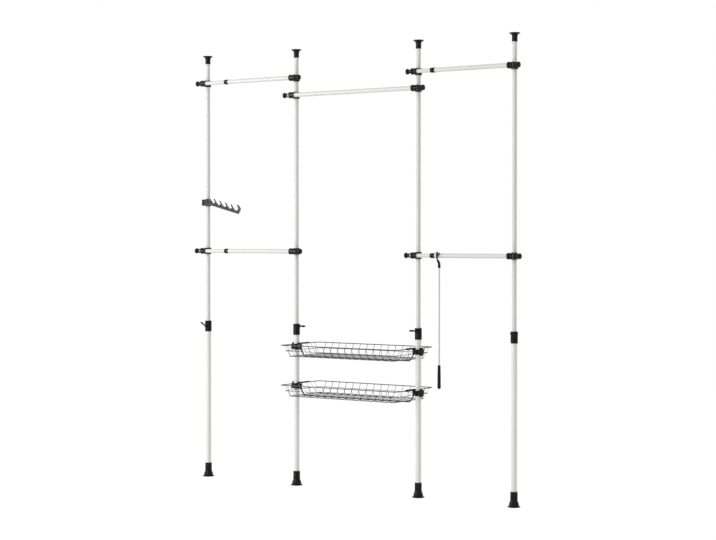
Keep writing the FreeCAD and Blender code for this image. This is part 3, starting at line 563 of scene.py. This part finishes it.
def build_lock_levers():
    """Round hub on a stem, with a tapering paddle that ends in a blunt point."""
    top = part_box("left_lock_collar")[1].z
    face = BOSS_FACE + LOOSE
    thick, radius, stem_radius, stem_end = 7 * MM, 8 * MM, 3 * MM, 17 * MM
    for post, x in POST_X.items():
        side, direction, tilt, drop = LEVERS[post]
        hub = lathe(soften([(0, face), (radius, face), (radius, face + thick - 1 * MM),
                            (radius - 1.4 * MM, face + thick), (0, face + thick)], 0.8 * MM), axis=Y_AXIS, segments=36)
        stem = lathe([(0, stem_end), (stem_radius, stem_end), (stem_radius, face + 1 * MM), (0, face + 1 * MM)],
                     axis=Y_AXIS, segments=24)
        mesh = merge([hub, stem, oval_loft(in_mm(PADDLE), face + thick / 2)])
        if side < 0:
            mesh.transform(Matrix.Rotation(math.pi, 4, "Z"))
        if side != direction:
            mesh.transform(Matrix.Rotation(math.pi, 4, "Y"))
        mesh.transform(Matrix.Rotation(tilt, 4, "Y"))
        mesh.transform(Matrix.Translation((x, 0, top - drop)))
        moulding(f"lock_lever_paddle_{post}", mesh, f"lock_lever_{post}")


# Rails

CLAMP_RADIUS, CLAMP_HALF_HEIGHT = 19 * MM, 19 * MM
# Where a clamp's screw boss ends and the screw's head sits, from the post's axis
SCREW_SEAT = 19.9 * MM
TUBE_WALL = 1.0 * MM
# An end cap from its inner flange to the tip of its knob, in mm: radius and distance along the rail
CAP_SPOOL = ((14, -29.5), (12, -27.5), (9.9, -23.5), (9.5, -20), (10.2, -16.5), (13.8, -13.6), (16, -11),
             (16, -5.5), (14.6, -1.6), (10, -0.3), (0, 0))


def rail_clamp(name, x, z, bore, node):
    """Two rounded rings, one round the post and one round the rail, on a waisted web."""
    edge = sizes().edge
    post_ring = ring(UPPER_RADIUS + LOOSE, CLAMP_RADIUS, -CLAMP_HALF_HEIGHT, CLAMP_HALF_HEIGHT, edge, (x, 0, z))
    half, outside, waist = 17 * MM, 18.5 * MM, 17.4 * MM
    profile = soften([(bore, -half), (outside, -half), (outside, -half + 5 * MM), (waist, -half + 6.5 * MM),
                      (waist, half - 6.5 * MM), (outside, half - 5 * MM), (outside, half), (bore, half),
                      (bore, -half)], edge * 0.7)
    rail_ring = lathe(profile, (x, RAIL_Y, z), axis=X_AXIS, segments=48)
    webs = [rounded_box((x - 12 * MM, RAIL_Y + 8 * MM, z + side * 13 * MM),
                        (x + 12 * MM, -9 * MM, z + side * 17.6 * MM), edge) for side in (-1, 1)]
    neck = rounded_box((x - 11 * MM, RAIL_Y + 15 * MM, z - 14 * MM), (x + 11 * MM, -13.5 * MM, z + 14 * MM), edge)
    boss = lathe(sleeve_profile(3.2 * MM, 7 * MM, 15 * MM, SCREW_SEAT, edge * 0.5), (x, 0, z), axis=Y_AXIS,
                 segments=24)
    moulding(name, merge([post_ring, rail_ring, neck, boss] + webs), node)


def clamp_screw(name, x, z, node):
    """Cap screw with a hollow drive."""
    start, face = UPPER_RADIUS + 0.7 * MM, 24 * MM
    shank, head, drive, drive_floor = 2.9 * MM, 5.5 * MM, 2.6 * MM, face - 2.4 * MM
    profile = soften([(0, start), (shank, start), (shank, SCREW_SEAT), (head, SCREW_SEAT), (head, face),
                      (drive, face), (drive, drive_floor), (0, drive_floor)], 0.5 * MM)
    moulding(name, lathe(profile, (x, 0, z), axis=Y_AXIS, segments=30), node, "zinc_plated_screw")


def end_cap(name, end, z, direction, tube_radius, node, length):
    """Spool-shaped cap: plug in the tube, inner flange, waist and a domed knob."""
    bore, plug = tube_radius - TUBE_WALL, length + 14 * MM
    profile = soften([(0, -plug), (bore - 0.6 * MM, -plug), (bore, 2 * MM - plug), (bore, -length),
                      (13.6 * MM, -length), (14 * MM, 1 * MM - length)] + in_mm(CAP_SPOOL), 1.4 * MM)
    moulding(name, lathe(profile, (end, RAIL_Y, z), axis=(direction, 0, 0), segments=48), node)


def rail_halves():
    """(name, post, direction, node, height, tube radius) of every telescopic half."""
    for label, posts in RAIL_POSTS.items():
        for half, post, direction in zip(("inner", "outer"), posts, (-1, 1)):
            name = f"{label}_{half}"
            tube = f"{name}_tube"
            yield name, post, direction, f"{name}_clamp_and_cap", middle(tube).z, span(tube).z / 2


def build_rail_clamps():
    for name, post, _, node, z, radius in rail_halves():
        rail_clamp(f"{name}_clamp", POST_X[post], z, radius, node)
        clamp_screw(f"{name}_screw", POST_X[post], z, node)
    z, radius = middle("middle_rail_tube").z, span("middle_rail_tube").z / 2
    for post in MIDDLE_POSTS:
        rail_clamp(f"middle_rail_clamp_{post}", POST_X[post], z, radius, "middle_rail_clamps")
        clamp_screw(f"middle_rail_screw_{post}", POST_X[post], z, "middle_rail_screws")


def build_end_caps():
    """A cap on each free end, as long as its node stands out from the tube."""
    z, radius = middle("middle_rail_tube").z, span("middle_rail_tube").z / 2
    ends = [(name, f"{name}_tube", direction, node, z, radius)
            for name, _, direction, node, z, radius in rail_halves()]
    ends += [(f"middle_rail_{side}", "middle_rail_tube", direction, "middle_rail_end_caps", z, radius)
             for side, direction in (("left", -1), ("right", 1))]
    for name, tube, direction, node, z, radius in ends:
        end = end_x(node, direction)
        end_cap(f"{name}_end_cap", end, z, direction, radius, node, abs(end - end_x(tube, direction)))


def build_step_rings():
    """Guide ring where the thin rail tube enters the thick one."""
    for label in RAIL_POSTS:
        node = f"{label}_step_ring"
        start, length = end_x(node, -1), span(node).x
        thin, thick = span(f"{label}_inner_tube").z / 2 + LOOSE, span(f"{label}_outer_tube").z / 2
        outside, lip = span(node).z / 2, 4 * MM
        groove = outside - 0.7 * MM
        profile = soften([
            (thin, 0), (outside - 1.4 * MM, 0), (outside, 2.2 * MM), (outside, 8 * MM), (groove, 9 * MM),
            (groove, 10.5 * MM), (outside, 11.5 * MM), (outside, length - 1 * MM), (outside - 0.6 * MM, length),
            (thick, length), (thick, lip), (thin, lip), (thin, 0)], 0.6 * MM)
        mesh = lathe(profile, (start, RAIL_Y, middle(node).z), axis=X_AXIS, segments=48)
        moulding(f"{label}_step_ring_moulding", mesh, node)


# Baskets

# How far the floor lies inside the rim, at the ends and at the sides, and the corners' radii
LEAN_END, LEAN_SIDE = 40 * MM, 30 * MM
RIM_CORNER, FLOOR_CORNER = 20 * MM, 14 * MM
WIRE_BEND = 8 * MM
# Shares of the mesh wire's radius: the loops, the long wires, and how high these lie over the floor
LOOP_SHARE, LONG_WIRE_SHARE, LONG_WIRE_LIFT = 1.15, 0.62, 2.6

# A bracket's ring and its faces below the rim wire's middle, its bar along the rim and the bar's top
BRACKET_RADIUS, BRACKET_BASE_DROP, BRACKET_TOP_DROP = 20.5 * MM, 32.2 * MM, 3.2 * MM
BAR_BACK, BAR_FRONT, BAR_RISE = 18 * MM, 92 * MM, 6.5 * MM
# The knob's axis, below the rim wire's middle and beside the post's axis
KNOB_DROP, KNOB_ASIDE = 14 * MM, 28 * MM
# The hollows between a knob's lobes, as a share of its radius, and its disc in shares of thickness and radius
LOBE_DEPTH = 0.10
KNOB_LEVELS = ((0.0, 0.90), (0.06, 0.955), (0.16, 0.99), (0.30, 1.0), (0.68, 1.0), (0.82, 0.985), (0.93, 0.93),
               (0.985, 0.80), (1.0, 0.6))


def loop_route(x_low, x_high, half_width, z, corner):
    """A closed rectangle with round corners."""
    steps = 8
    corners = [(x_high - corner, half_width - corner, 0), (x_low + corner, half_width - corner, 90),
               (x_low + corner, -half_width + corner, 180), (x_high - corner, -half_width + corner, 270)]
    route = []
    for x, y, start in corners:
        for index in range(steps + 1):
            angle = math.radians(start + 90 * index / steps)
            route.append(Vector((x + corner * math.cos(angle), y + corner * math.sin(angle), z)))
    return route


def spread(run, odd=False):
    """Places over a run, about a wire pitch apart; odd asks for an odd number of gaps."""
    count = round(run / sizes().wire_pitch)
    if odd:
        count += 1 - count % 2
    return [-run / 2 + run * index / count for index in range(count + 1)]


def build_baskets():
    """Welded wire baskets: rim, middle and floor loops, and U-shaped wires both ways."""
    rim_r, wire_r = sizes().rim_wire, sizes().mesh_wire
    for label in BASKETS:
        low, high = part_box(label)
        rim_z, floor_z = high.z - rim_r, low.z + wire_r
        x_low, x_high, half = low.x + rim_r, high.x - rim_r, high.y - rim_r
        centre = (x_low + x_high) / 2
        floor_x, floor_half = x_low + LEAN_END, half - LEAN_SIDE
        cross_z, long_z = floor_z + wire_r, floor_z + LONG_WIRE_LIFT * wire_r

        def level(t, z):
            """The wall's outline at a share t of the way from the rim to the floor."""
            corner = RIM_CORNER + (FLOOR_CORNER - RIM_CORNER) * t
            return loop_route(x_low + LEAN_END * t, x_high - LEAN_END * t, half - LEAN_SIDE * t, z, corner)

        crosswise = [bend_route([(x, -half, rim_z), (x, -floor_half, cross_z), (x, floor_half, cross_z),
                                 (x, half, rim_z)], WIRE_BEND)
                     for x in (centre + offset for offset in spread(2 * (centre - floor_x - FLOOR_CORNER)))]
        lengthwise = [bend_route([(x_low, y, rim_z), (floor_x, y, long_z), (2 * centre - floor_x, y, long_z),
                                  (x_high, y, rim_z)], WIRE_BEND)
                      for y in spread(2 * (floor_half - FLOOR_CORNER), odd=True)]
        loops = [level(0.5, (rim_z + floor_z) / 2), level(1.0, cross_z)]
        for obj in (wire_curve(f"{label}_rim", [level(0.0, rim_z)], rim_r, WIRE_COAT, closed=True),
                    wire_curve(f"{label}_loops", loops, wire_r * LOOP_SHARE, WIRE_COAT, closed=True),
                    wire_curve(f"{label}_cross_wires", crosswise, wire_r, WIRE_COAT),
                    wire_curve(f"{label}_long_wires", lengthwise, wire_r * LONG_WIRE_SHARE, WIRE_COAT)):
            fit_piece(obj, label)


def bracket_place(label, post):
    """Side of the post that the basket is on, the post's x and the rim wire's height."""
    return (1 if post == 2 else -1), POST_X[post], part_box(label)[1].z - sizes().rim_wire


def bracket(side, x, rim):
    """Clamp ring on the post, block, bar hooked over the rim, outer cheek and lug for the knob's stem."""
    edge = sizes().edge
    base, top, bar_top, knob_z = rim - BRACKET_BASE_DROP, rim - BRACKET_TOP_DROP, rim + BAR_RISE, rim - KNOB_DROP

    def across(distance):
        """X at a distance from the post's axis towards the basket, in mm."""
        return x + side * distance * MM

    clamp = ring(LOWER_RADIUS + LOOSE, BRACKET_RADIUS, 0, top - base, edge * 0.6, (x, 0, base))
    block = rounded_box((across(17), -9 * MM, base), (across(34), 9 * MM, top), edge * 1.5)
    back, front = -side * BAR_BACK, side * BAR_FRONT
    lip = rounded_box((across(17.3), back, top), (across(19.3), front, bar_top), 0.6 * MM)
    cover = rounded_box((across(17.3), back, rim + 2.6 * MM), (across(26.7), front, bar_top), 1.2 * MM)
    cheek = rounded_box((across(-26), -19 * MM, base), (across(-17.5), 19 * MM, top), edge * 1.5)
    arms = [rounded_box((across(-6), side * 17.5 * MM, knob_z + offset * MM),
                        (across(12), side * KNOB_ASIDE, knob_z + (offset + 4.8) * MM), edge * 0.6)
            for offset in (-8, 3.2)]
    eye_low, eye_high = sorted((across(-6) - x, across(12) - x))
    eye = lathe(sleeve_profile(4.1 * MM, 8 * MM, eye_low, eye_high, edge * 0.6), (x, side * KNOB_ASIDE, knob_z),
                axis=X_AXIS, segments=36)
    return merge([clamp, block, lip, cover, eye, cheek] + arms)


def build_brackets():
    for label in BASKETS:
        for post in MIDDLE_POSTS:
            moulding(f"{label}_bracket_moulding_{post}", bracket(*bracket_place(label, post)), f"{label}_brackets")


def lobed_disc(radius, start, thick, lobes):
    """A hand knob's disc with finger lobes and a domed face, along +X."""
    mesh = bmesh.new()
    rows = []
    for along, share in KNOB_LEVELS:
        row = []
        for angle in turns(KNOB_SEGMENTS):
            out = radius * share * (1 - LOBE_DEPTH * max(0.0, -math.cos(lobes * angle)) ** 1.5)
            row.append(mesh.verts.new((start + thick * along, out * math.cos(angle), out * math.sin(angle))))
        rows.append(row)
    skin(mesh, rows)
    close_ends(mesh, rows)
    return mesh


def hand_knob():
    """Lobed disc on a flared hub, a stem through the bracket's lug and a small boss on the face, along +X."""
    hub = ((0, 24), (6, 24), (8, 28), (13, 31.6), (0, 31.6))
    stem = ((0, -12), (3.9, -12), (3.9, 25), (0, 25))
    boss = ((0, 43), (8, 43), (7.5, 43.9), (0, 43.9))
    turned = [lathe(soften(in_mm(table), edge * MM), axis=X_AXIS, segments=segments)
              for table, edge, segments in ((hub, 1.5, 36), (stem, 0.5, 28), (boss, 0.3, 36))]
    return merge([lobed_disc(23.4 * MM, 31 * MM, 13 * MM, sizes().knob_lobes)] + turned)


def build_knobs():
    """A knob beside each bracket, on the side that faces away from the basket."""
    for label in BASKETS:
        for name, post in zip(("left", "right"), MIDDLE_POSTS):
            side, x, rim = bracket_place(label, post)
            mesh = hand_knob()
            mesh.transform(Matrix.Translation((0, -KNOB_ASIDE, 0)))
            if side > 0:
                mesh.transform(Matrix.Rotation(math.pi, 4, "Z"))
            mesh.transform(Matrix.Translation((x, 0, rim - KNOB_DROP)))
            moulding(f"{label}_{name}_hand_knob", mesh, f"{label}_{name}_knob")


# Hook strip

HOOKS = 5
# Spacing of the hooks, their fall per hook, the first one's distance from the post's axis and a hook's depth
HOOK_PITCH, HOOK_FALL, HOOK_FIRST, HOOK_DEPTH = 43.5 * MM, 11.2 * MM, 65 * MM, 26 * MM
# Half width of a hollow, half height of the web, its start from the post's axis and its drop from the clamp's middle
HOLLOW, WEB_HEIGHT, STRIP_START, STRIP_DROP = 6 * MM, 18.5 * MM, 17 * MM, 4 * MM
# The plate's distance before the post's axis, the clamp's height and the ridges on its front
STRIP_FORWARD, STRIP_CLAMP_HEIGHT = 27 * MM, 42 * MM
RIDGES_MM, RIDGE_WIDTH_MM = (-20, -14, -8, -2, 4, 10), 3
# Half thicknesses of web, struts and edge, then the edge's width, the web's inset and the outline's rounding
WEB_HALF, STRUT_HALF, BAND_HALF = 1.2 * MM, 2.4 * MM, 3 * MM
BAND_WIDTH, WEB_INSET, STRIP_ROUNDING = 4.2 * MM, 2 * MM, 3 * MM
# Corners as shares of a hook's depth, from the hollow's middle
END_HOOK = ((1.23, -0.08), (1.31, 0.38), (0.96, 0.92), (0.46, 1.31), (0.23, 1.19), (0.58, 0.65), (0.69, 0.31),
            (0.46, 0.04))
SPIKE_BACK = ((-0.88, 0.65),)
SPIKE_TIP = ((0.23, 1.0), (0.12, 0.88), (0.54, 0.31))
FIRST_SHOULDER = ((-0.54, 0.54),)


def strip_line(distance):
    """Height of the hooks' hollows at a distance from the post's axis, from the clamp's middle."""
    return -(distance - HOOK_FIRST) * HOOK_FALL / HOOK_PITCH - STRIP_DROP


def strip_outline():
    """Rounded outline of the sloping strip of hooks, in X and Z from the post's axis and the clamp's middle."""

    def corners(x, table):
        return [(x + a * HOOK_DEPTH, strip_line(x) + b * HOOK_DEPTH) for a, b in table]

    end = HOOK_FIRST + HOOK_PITCH * (HOOKS - 1)
    points = [(STRIP_START, strip_line(STRIP_START) - WEB_HEIGHT),
              (end + WEB_HEIGHT, strip_line(end + WEB_HEIGHT) - WEB_HEIGHT)] + corners(end, END_HOOK)
    for index in reversed(range(HOOKS)):
        x = HOOK_FIRST + HOOK_PITCH * index
        points += [(x + HOLLOW, strip_line(x)), (x - HOLLOW, strip_line(x))]
        if index:
            points += corners(x, SPIKE_BACK) + corners(x - HOOK_PITCH, SPIKE_TIP)
    points += corners(HOOK_FIRST, FIRST_SHOULDER)
    points.append((STRIP_START, strip_line(STRIP_START) + WEB_HEIGHT))
    return soften([points[-1]] + points + [points[0]], STRIP_ROUNDING)[1:-1]


def inset_loop(points, distance):
    """Moves an anticlockwise outline inward, each point square to the line between its neighbours."""
    out = []
    for index, here in enumerate(points):
        before, after = Vector(points[index - 1]), Vector(points[(index + 1) % len(points)])
        along = (after - before).normalized()
        out.append((here[0] - along.y * distance, here[1] + along.x * distance))
    return out


def plate(outline, half):
    """A flat plate in the XZ plane with an outline that may be hollow-sided."""
    mesh = bmesh.new()
    front, back = ([mesh.verts.new((a, y, b)) for a, b in outline] for y in (-half, half))
    skin(mesh, (front, back))
    for corners in tessellate_polygon([[Vector((a, b, 0)) for a, b in outline]]):
        mesh.faces.new([front[index] for index in corners])
        mesh.faces.new([back[index] for index in reversed(corners)])
    return mesh


def edge_band(outline, width, half):
    """The thick edge that runs round a plate."""
    inner = inset_loop(outline, width)
    mesh = bmesh.new()
    rows = [[mesh.verts.new((a, y, b)) for a, b in loop]
            for loop, y in ((outline, -half), (outline, half), (inner, half), (inner, -half))]
    skin(mesh, rows + rows[:1])
    return mesh


def strut(start, stop, half_width):
    """A straight rib in the XZ plane."""
    a, b = Vector(start), Vector(stop)
    side = Vector((-(b - a).y, (b - a).x)).normalized() * half_width
    return plate([a + side, a - side, b - side, b + side], STRUT_HALF)


def web_struts():
    """An upright under each hollow, and an upright and a slanting rib half a pitch before it."""
    struts = []
    for index in range(HOOKS):
        x = HOOK_FIRST + HOOK_PITCH * index
        before = x - HOOK_PITCH / 2
        foot, top = (x, strip_line(x) - WEB_HEIGHT + 1 * MM), (x, strip_line(x) - 1 * MM)
        foot_before = (before, strip_line(before) - WEB_HEIGHT + 1 * MM)
        struts += [strut(foot, top, 1.1 * MM), strut(foot_before, top, 1.0 * MM),
                   strut(foot_before, (before, strip_line(before) + 4 * MM), 1.0 * MM)]
    return struts


def build_hook_strip():
    """Clamp with a ribbed front, a thin grey web with struts, and a dark edge round it."""
    edge, half = sizes().edge, STRIP_CLAMP_HEIGHT / 2
    place = Matrix.Translation((POST_X[1], -STRIP_FORWARD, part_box("hook_strip")[1].z - half))
    outline = strip_outline()
    web = merge([plate(inset_loop(outline, WEB_INSET), WEB_HALF)] + web_struts())
    web.transform(place)
    moulding("hook_strip_web", web, "hook_strip", "grey_nylon")
    band = edge_band(outline, BAND_WIDTH, BAND_HALF)
    clamp = ring(UPPER_RADIUS + LOOSE, CLAMP_RADIUS, -half, half, edge, (0, STRIP_FORWARD, 0))
    block = rounded_box((-25 * MM, -3 * MM, -18.9 * MM), (24.7 * MM, 13.8 * MM, 18.9 * MM), edge * 2)
    ridges = [rounded_box((x * MM, -3.9 * MM, -16 * MM), ((x + RIDGE_WIDTH_MM) * MM, -1 * MM, 16 * MM), 0.9 * MM)
              for x in RIDGES_MM]
    strip_frame = merge([band, clamp, block] + ridges)
    strip_frame.transform(place)
    moulding("hook_strip_frame", strip_frame, "hook_strip")


# Reach pole

# The hook's wire, the stem under it and the side prong, as radii, and the stem's bore for the rod
HOOK_WIRE, STEM_WIRE, PRONG_WIRE, ROD_BORE = 4.4 * MM, 7.2 * MM, 3.6 * MM, 5.05 * MM
# The hook's shift to the left of the rod, its turn about the upright, the distance of its wire's middle from
# the rail, and its tip's drop below the rail's axis
HOOK_SHIFT, HOOK_TURN, HOOK_STAND_OFF, TIP_DROP = 16 * MM, math.radians(25), 4.5 * MM, 9 * MM
# The grip in shares of its radius and mm along it: its lower end, and one of its grooves
GRIP_END = ((0, 0), (0.45, 0.6), (0.8, 3.2), (0.99, 8.5), (1, 14), (0.98, 24))
GROOVE = ((0.97, 0), (0.93, 1), (0.93, 2.4), (0.97, 3.4))
GROOVE_STARTS_MM = (30, 37, 44, 51, 58)


def build_pole_head():
    """Hook over the rail with a side prong, a stem and a socket for the rod."""
    x, y = middle("reach_pole_rod").x, middle("reach_pole_rod").y
    z = middle("lower_right_rail_outer_tube").z

    def under(share, drop_mm):
        """A point under the rail's axis, a share of the hook's shift left of the rod."""
        return Vector((x - HOOK_SHIFT * share, y, z - drop_mm * MM))

    reach = (span("lower_right_rail_outer_tube").z / 2 + LOOSE + HOOK_STAND_OFF) / math.cos(HOOK_TURN)
    across = Vector((-math.sin(HOOK_TURN), math.cos(HOOK_TURN), 0)) * reach
    centre = Vector((x - HOOK_SHIFT, RAIL_Y - across.y, z)) + across
    route = [centre + across - Z_AXIS * TIP_DROP]
    for index in range(13):
        angle = math.pi * index / 12
        route.append(centre + across * math.cos(angle) + Z_AXIS * reach * math.sin(angle))
    route += [under(1, 6), under(0.85, 18), under(0.4, 30), under(0, 44), under(0, 52)]
    stem = [under(0.7, 23), under(0.4, 31), under(0, 44), under(0, 50)]
    base = centre - across - Z_AXIS * 2 * MM
    prong = [base, base + Vector((11, 0, 9)) * MM, base + Vector((19, 0, 18)) * MM]
    for name, points, radius in (("hook", bend_route(route, 6 * MM), HOOK_WIRE),
                                 ("stem", bend_route(stem, 5 * MM), STEM_WIRE), ("prong", prong, PRONG_WIRE)):
        wire = wire_curve(f"reach_pole_{name}", [points], radius, NYLON, round_ends=True)
        fit_piece(wire, "reach_pole_head")
    socket = [(0, -40 * MM), (5 * MM, -40 * MM), (7.4 * MM, -50 * MM), (7.8 * MM, -60 * MM), (7.8 * MM, -67 * MM),
              (ROD_BORE, -67 * MM), (ROD_BORE, -45.5 * MM), (0, -45.5 * MM)]
    moulding("reach_pole_socket", lathe(soften(socket, 0.9 * MM), (x, y, z), segments=32), "reach_pole_head")


def build_pole_grip():
    """Tapered grip with a rounded lower end and shallow grooves."""
    x, y = middle("reach_pole_rod").x, middle("reach_pole_rod").y
    length, radius = span("reach_pole_handle").z, span("reach_pole_handle").x / 2 + 1.2 * MM
    profile = [(radius * share, along * MM) for share, along in GRIP_END]
    profile += [(radius * share, (start + along) * MM) for start in GROOVE_STARTS_MM for share, along in GROOVE]
    profile += [(radius * 0.93, length * 0.6), (radius * 0.84, length - 3 * MM), (radius * 0.78, length),
                (ROD_BORE, length), (ROD_BORE, length - 30 * MM), (0, length - 30 * MM)]
    low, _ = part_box("reach_pole_handle")
    moulding("reach_pole_grip", lathe(soften(profile, 0.9 * MM, 3), (x, y, low.z), segments=40), "reach_pole_handle")


# Studio

CAMERA_PLACE = Vector((5.680, -8.105, 1.4526))
CAMERA_AZIMUTH = math.radians(34.82)
CAMERA_PITCH = math.radians(1.08)
PHOTO_WIDTH = 716
FOCAL_PIXELS = 1729.6
SENSOR = 36.0
LAMP_TARGET = Vector((0, 0, 1.3))
FLOOR_HALF_WIDTH = 30
# The white surroundings' strength as a source of light and as the camera sees them
WORLD_LIGHT, WORLD_SEEN = 0.66, 1.0


def area_light(name, place, width, height, power):
    """A flat lamp; a tall one draws an upright highlight on round posts and collars."""
    data = bpy.data.lights.new(name, "AREA")
    data.shape = "RECTANGLE"
    data.size = width
    data.size_y = height
    data.energy = power
    lamp = add_object(name, data)
    lamp.location = place
    lamp.rotation_euler = (LAMP_TARGET - Vector(place)).to_track_quat("-Z", "Y").to_euler()


def build_world():
    world = bpy.data.worlds.new("studio")
    world.use_nodes = True
    world.node_tree.nodes.clear()
    ray = add_node(world, "ShaderNodeLightPath")
    strength = add_node(world, "ShaderNodeMapRange", {"To Min": WORLD_LIGHT, "To Max": WORLD_SEEN},
                        [("Value", ray, "Is Camera Ray")])
    sky = add_node(world, "ShaderNodeBackground", {"Color": (1, 1, 1, 1)}, [("Strength", strength, "Result")])
    add_node(world, "ShaderNodeOutputWorld", (), [("Surface", sky, 0)])
    bpy.context.scene.world = world


def build_camera():
    """The photograph's camera."""
    camera = bpy.data.cameras.new("camera")
    camera.sensor_width = SENSOR
    camera.lens = FOCAL_PIXELS / PHOTO_WIDTH * SENSOR
    camera.clip_end = 100
    view = add_object("camera", camera)
    view.location = CAMERA_PLACE
    view.rotation_euler = (math.pi / 2 - CAMERA_PITCH, 0, CAMERA_AZIMUTH)
    bpy.context.scene.camera = view
    bpy.context.scene.view_settings.view_transform = "Standard"


def build_stage():
    """Pale floor, white surroundings, two soft lamps and the camera."""
    mesh = bmesh.new()
    bmesh.ops.create_grid(mesh, x_segments=1, y_segments=1, size=FLOOR_HALF_WIDTH)
    floor = finish_mesh("floor", mesh, "studio_floor")
    build_world()
    area_light("key", (-4.6, -5.2, 2.7), width=1.4, height=4.8, power=240)
    area_light("front", (2.0, -7.0, 4.0), width=2.0, height=2.0, power=60)
    build_camera()


# Operators and panel


class PieceBuilder:
    """Runs an operator's builders in turn."""
    builders = ()

    def execute(self, context):
        for build in self.builders:
            build()
        return {"FINISHED"}


class RACK_OT_tubes(PieceBuilder, bpy.types.Operator):
    """Coat the post tubes, rail tubes, bars and bushes"""
    bl_idname = "rack.tubes"
    bl_label = "Tubes and Bars"
    builders = (coat_tubes,)


class RACK_OT_feet(PieceBuilder, bpy.types.Operator):
    """Build the four ribbed feet"""
    bl_idname = "rack.feet"
    bl_label = "Feet"
    builders = (build_feet,)


class RACK_OT_ceiling_pads(PieceBuilder, bpy.types.Operator):
    """Build the four ceiling pads"""
    bl_idname = "rack.ceiling_pads"
    bl_label = "Ceiling Pads"
    builders = (build_ceiling_pads,)


class RACK_OT_lock_collars(PieceBuilder, bpy.types.Operator):
    """Build the lock collars and their levers"""
    bl_idname = "rack.lock_collars"
    bl_label = "Lock Collars and Levers"
    builders = (build_lock_collars, build_lock_levers)


class RACK_OT_rail_fittings(PieceBuilder, bpy.types.Operator):
    """Build the rail clamps, end caps and step rings"""
    bl_idname = "rack.rail_fittings"
    bl_label = "Rail Fittings"
    builders = (build_rail_clamps, build_end_caps, build_step_rings)


class RACK_OT_baskets(PieceBuilder, bpy.types.Operator):
    """Build the wire baskets, their brackets and hand knobs"""
    bl_idname = "rack.baskets"
    bl_label = "Baskets"
    builders = (build_baskets, build_brackets, build_knobs)


class RACK_OT_hook_strip(PieceBuilder, bpy.types.Operator):
    """Build the hook strip on the left post"""
    bl_idname = "rack.hook_strip"
    bl_label = "Hook Strip"
    builders = (build_hook_strip,)


class RACK_OT_reach_pole(PieceBuilder, bpy.types.Operator):
    """Build the reach pole's head and grip"""
    bl_idname = "rack.reach_pole"
    bl_label = "Reach Pole"
    builders = (build_pole_head, build_pole_grip)


class RACK_OT_stage(PieceBuilder, bpy.types.Operator):
    """Set up the floor, lamps and camera"""
    bl_idname = "rack.stage"
    bl_label = "Studio"
    builders = (build_stage,)


OPERATORS = (RACK_OT_tubes, RACK_OT_feet, RACK_OT_ceiling_pads, RACK_OT_lock_collars, RACK_OT_rail_fittings,
             RACK_OT_baskets, RACK_OT_hook_strip, RACK_OT_reach_pole, RACK_OT_stage)


class RACK_PT_sidebar(bpy.types.Panel):
    """Lists the rack's pieces in the sidebar"""
    bl_idname = "RACK_PT_sidebar"
    bl_label = "Clothes Rack"
    bl_space_type = "VIEW_3D"
    bl_region_type = "UI"
    bl_category = "Clothes Rack"

    def draw(self, context):
        for group in (context.scene.rack_sizes, context.scene.rack_colours):
            for name in group.__annotations__:
                self.layout.prop(group, name)
        for operator in OPERATORS:
            self.layout.operator(operator.bl_idname)


CLASSES = (RackSizes, RackColours) + OPERATORS + (RACK_PT_sidebar,)


def register():
    for cls in CLASSES:
        bpy.utils.register_class(cls)
    bpy.types.Scene.rack_sizes = PointerProperty(type=RackSizes)
    bpy.types.Scene.rack_colours = PointerProperty(type=RackColours)


def unregister():
    del bpy.types.Scene.rack_colours
    del bpy.types.Scene.rack_sizes
    for cls in reversed(CLASSES):
        bpy.utils.unregister_class(cls)


def main():
    register()
    for operator in OPERATORS:
        group, name = operator.bl_idname.split(".")
        getattr(getattr(bpy.ops, group), name)()


if __name__ == "__main__":
    main()
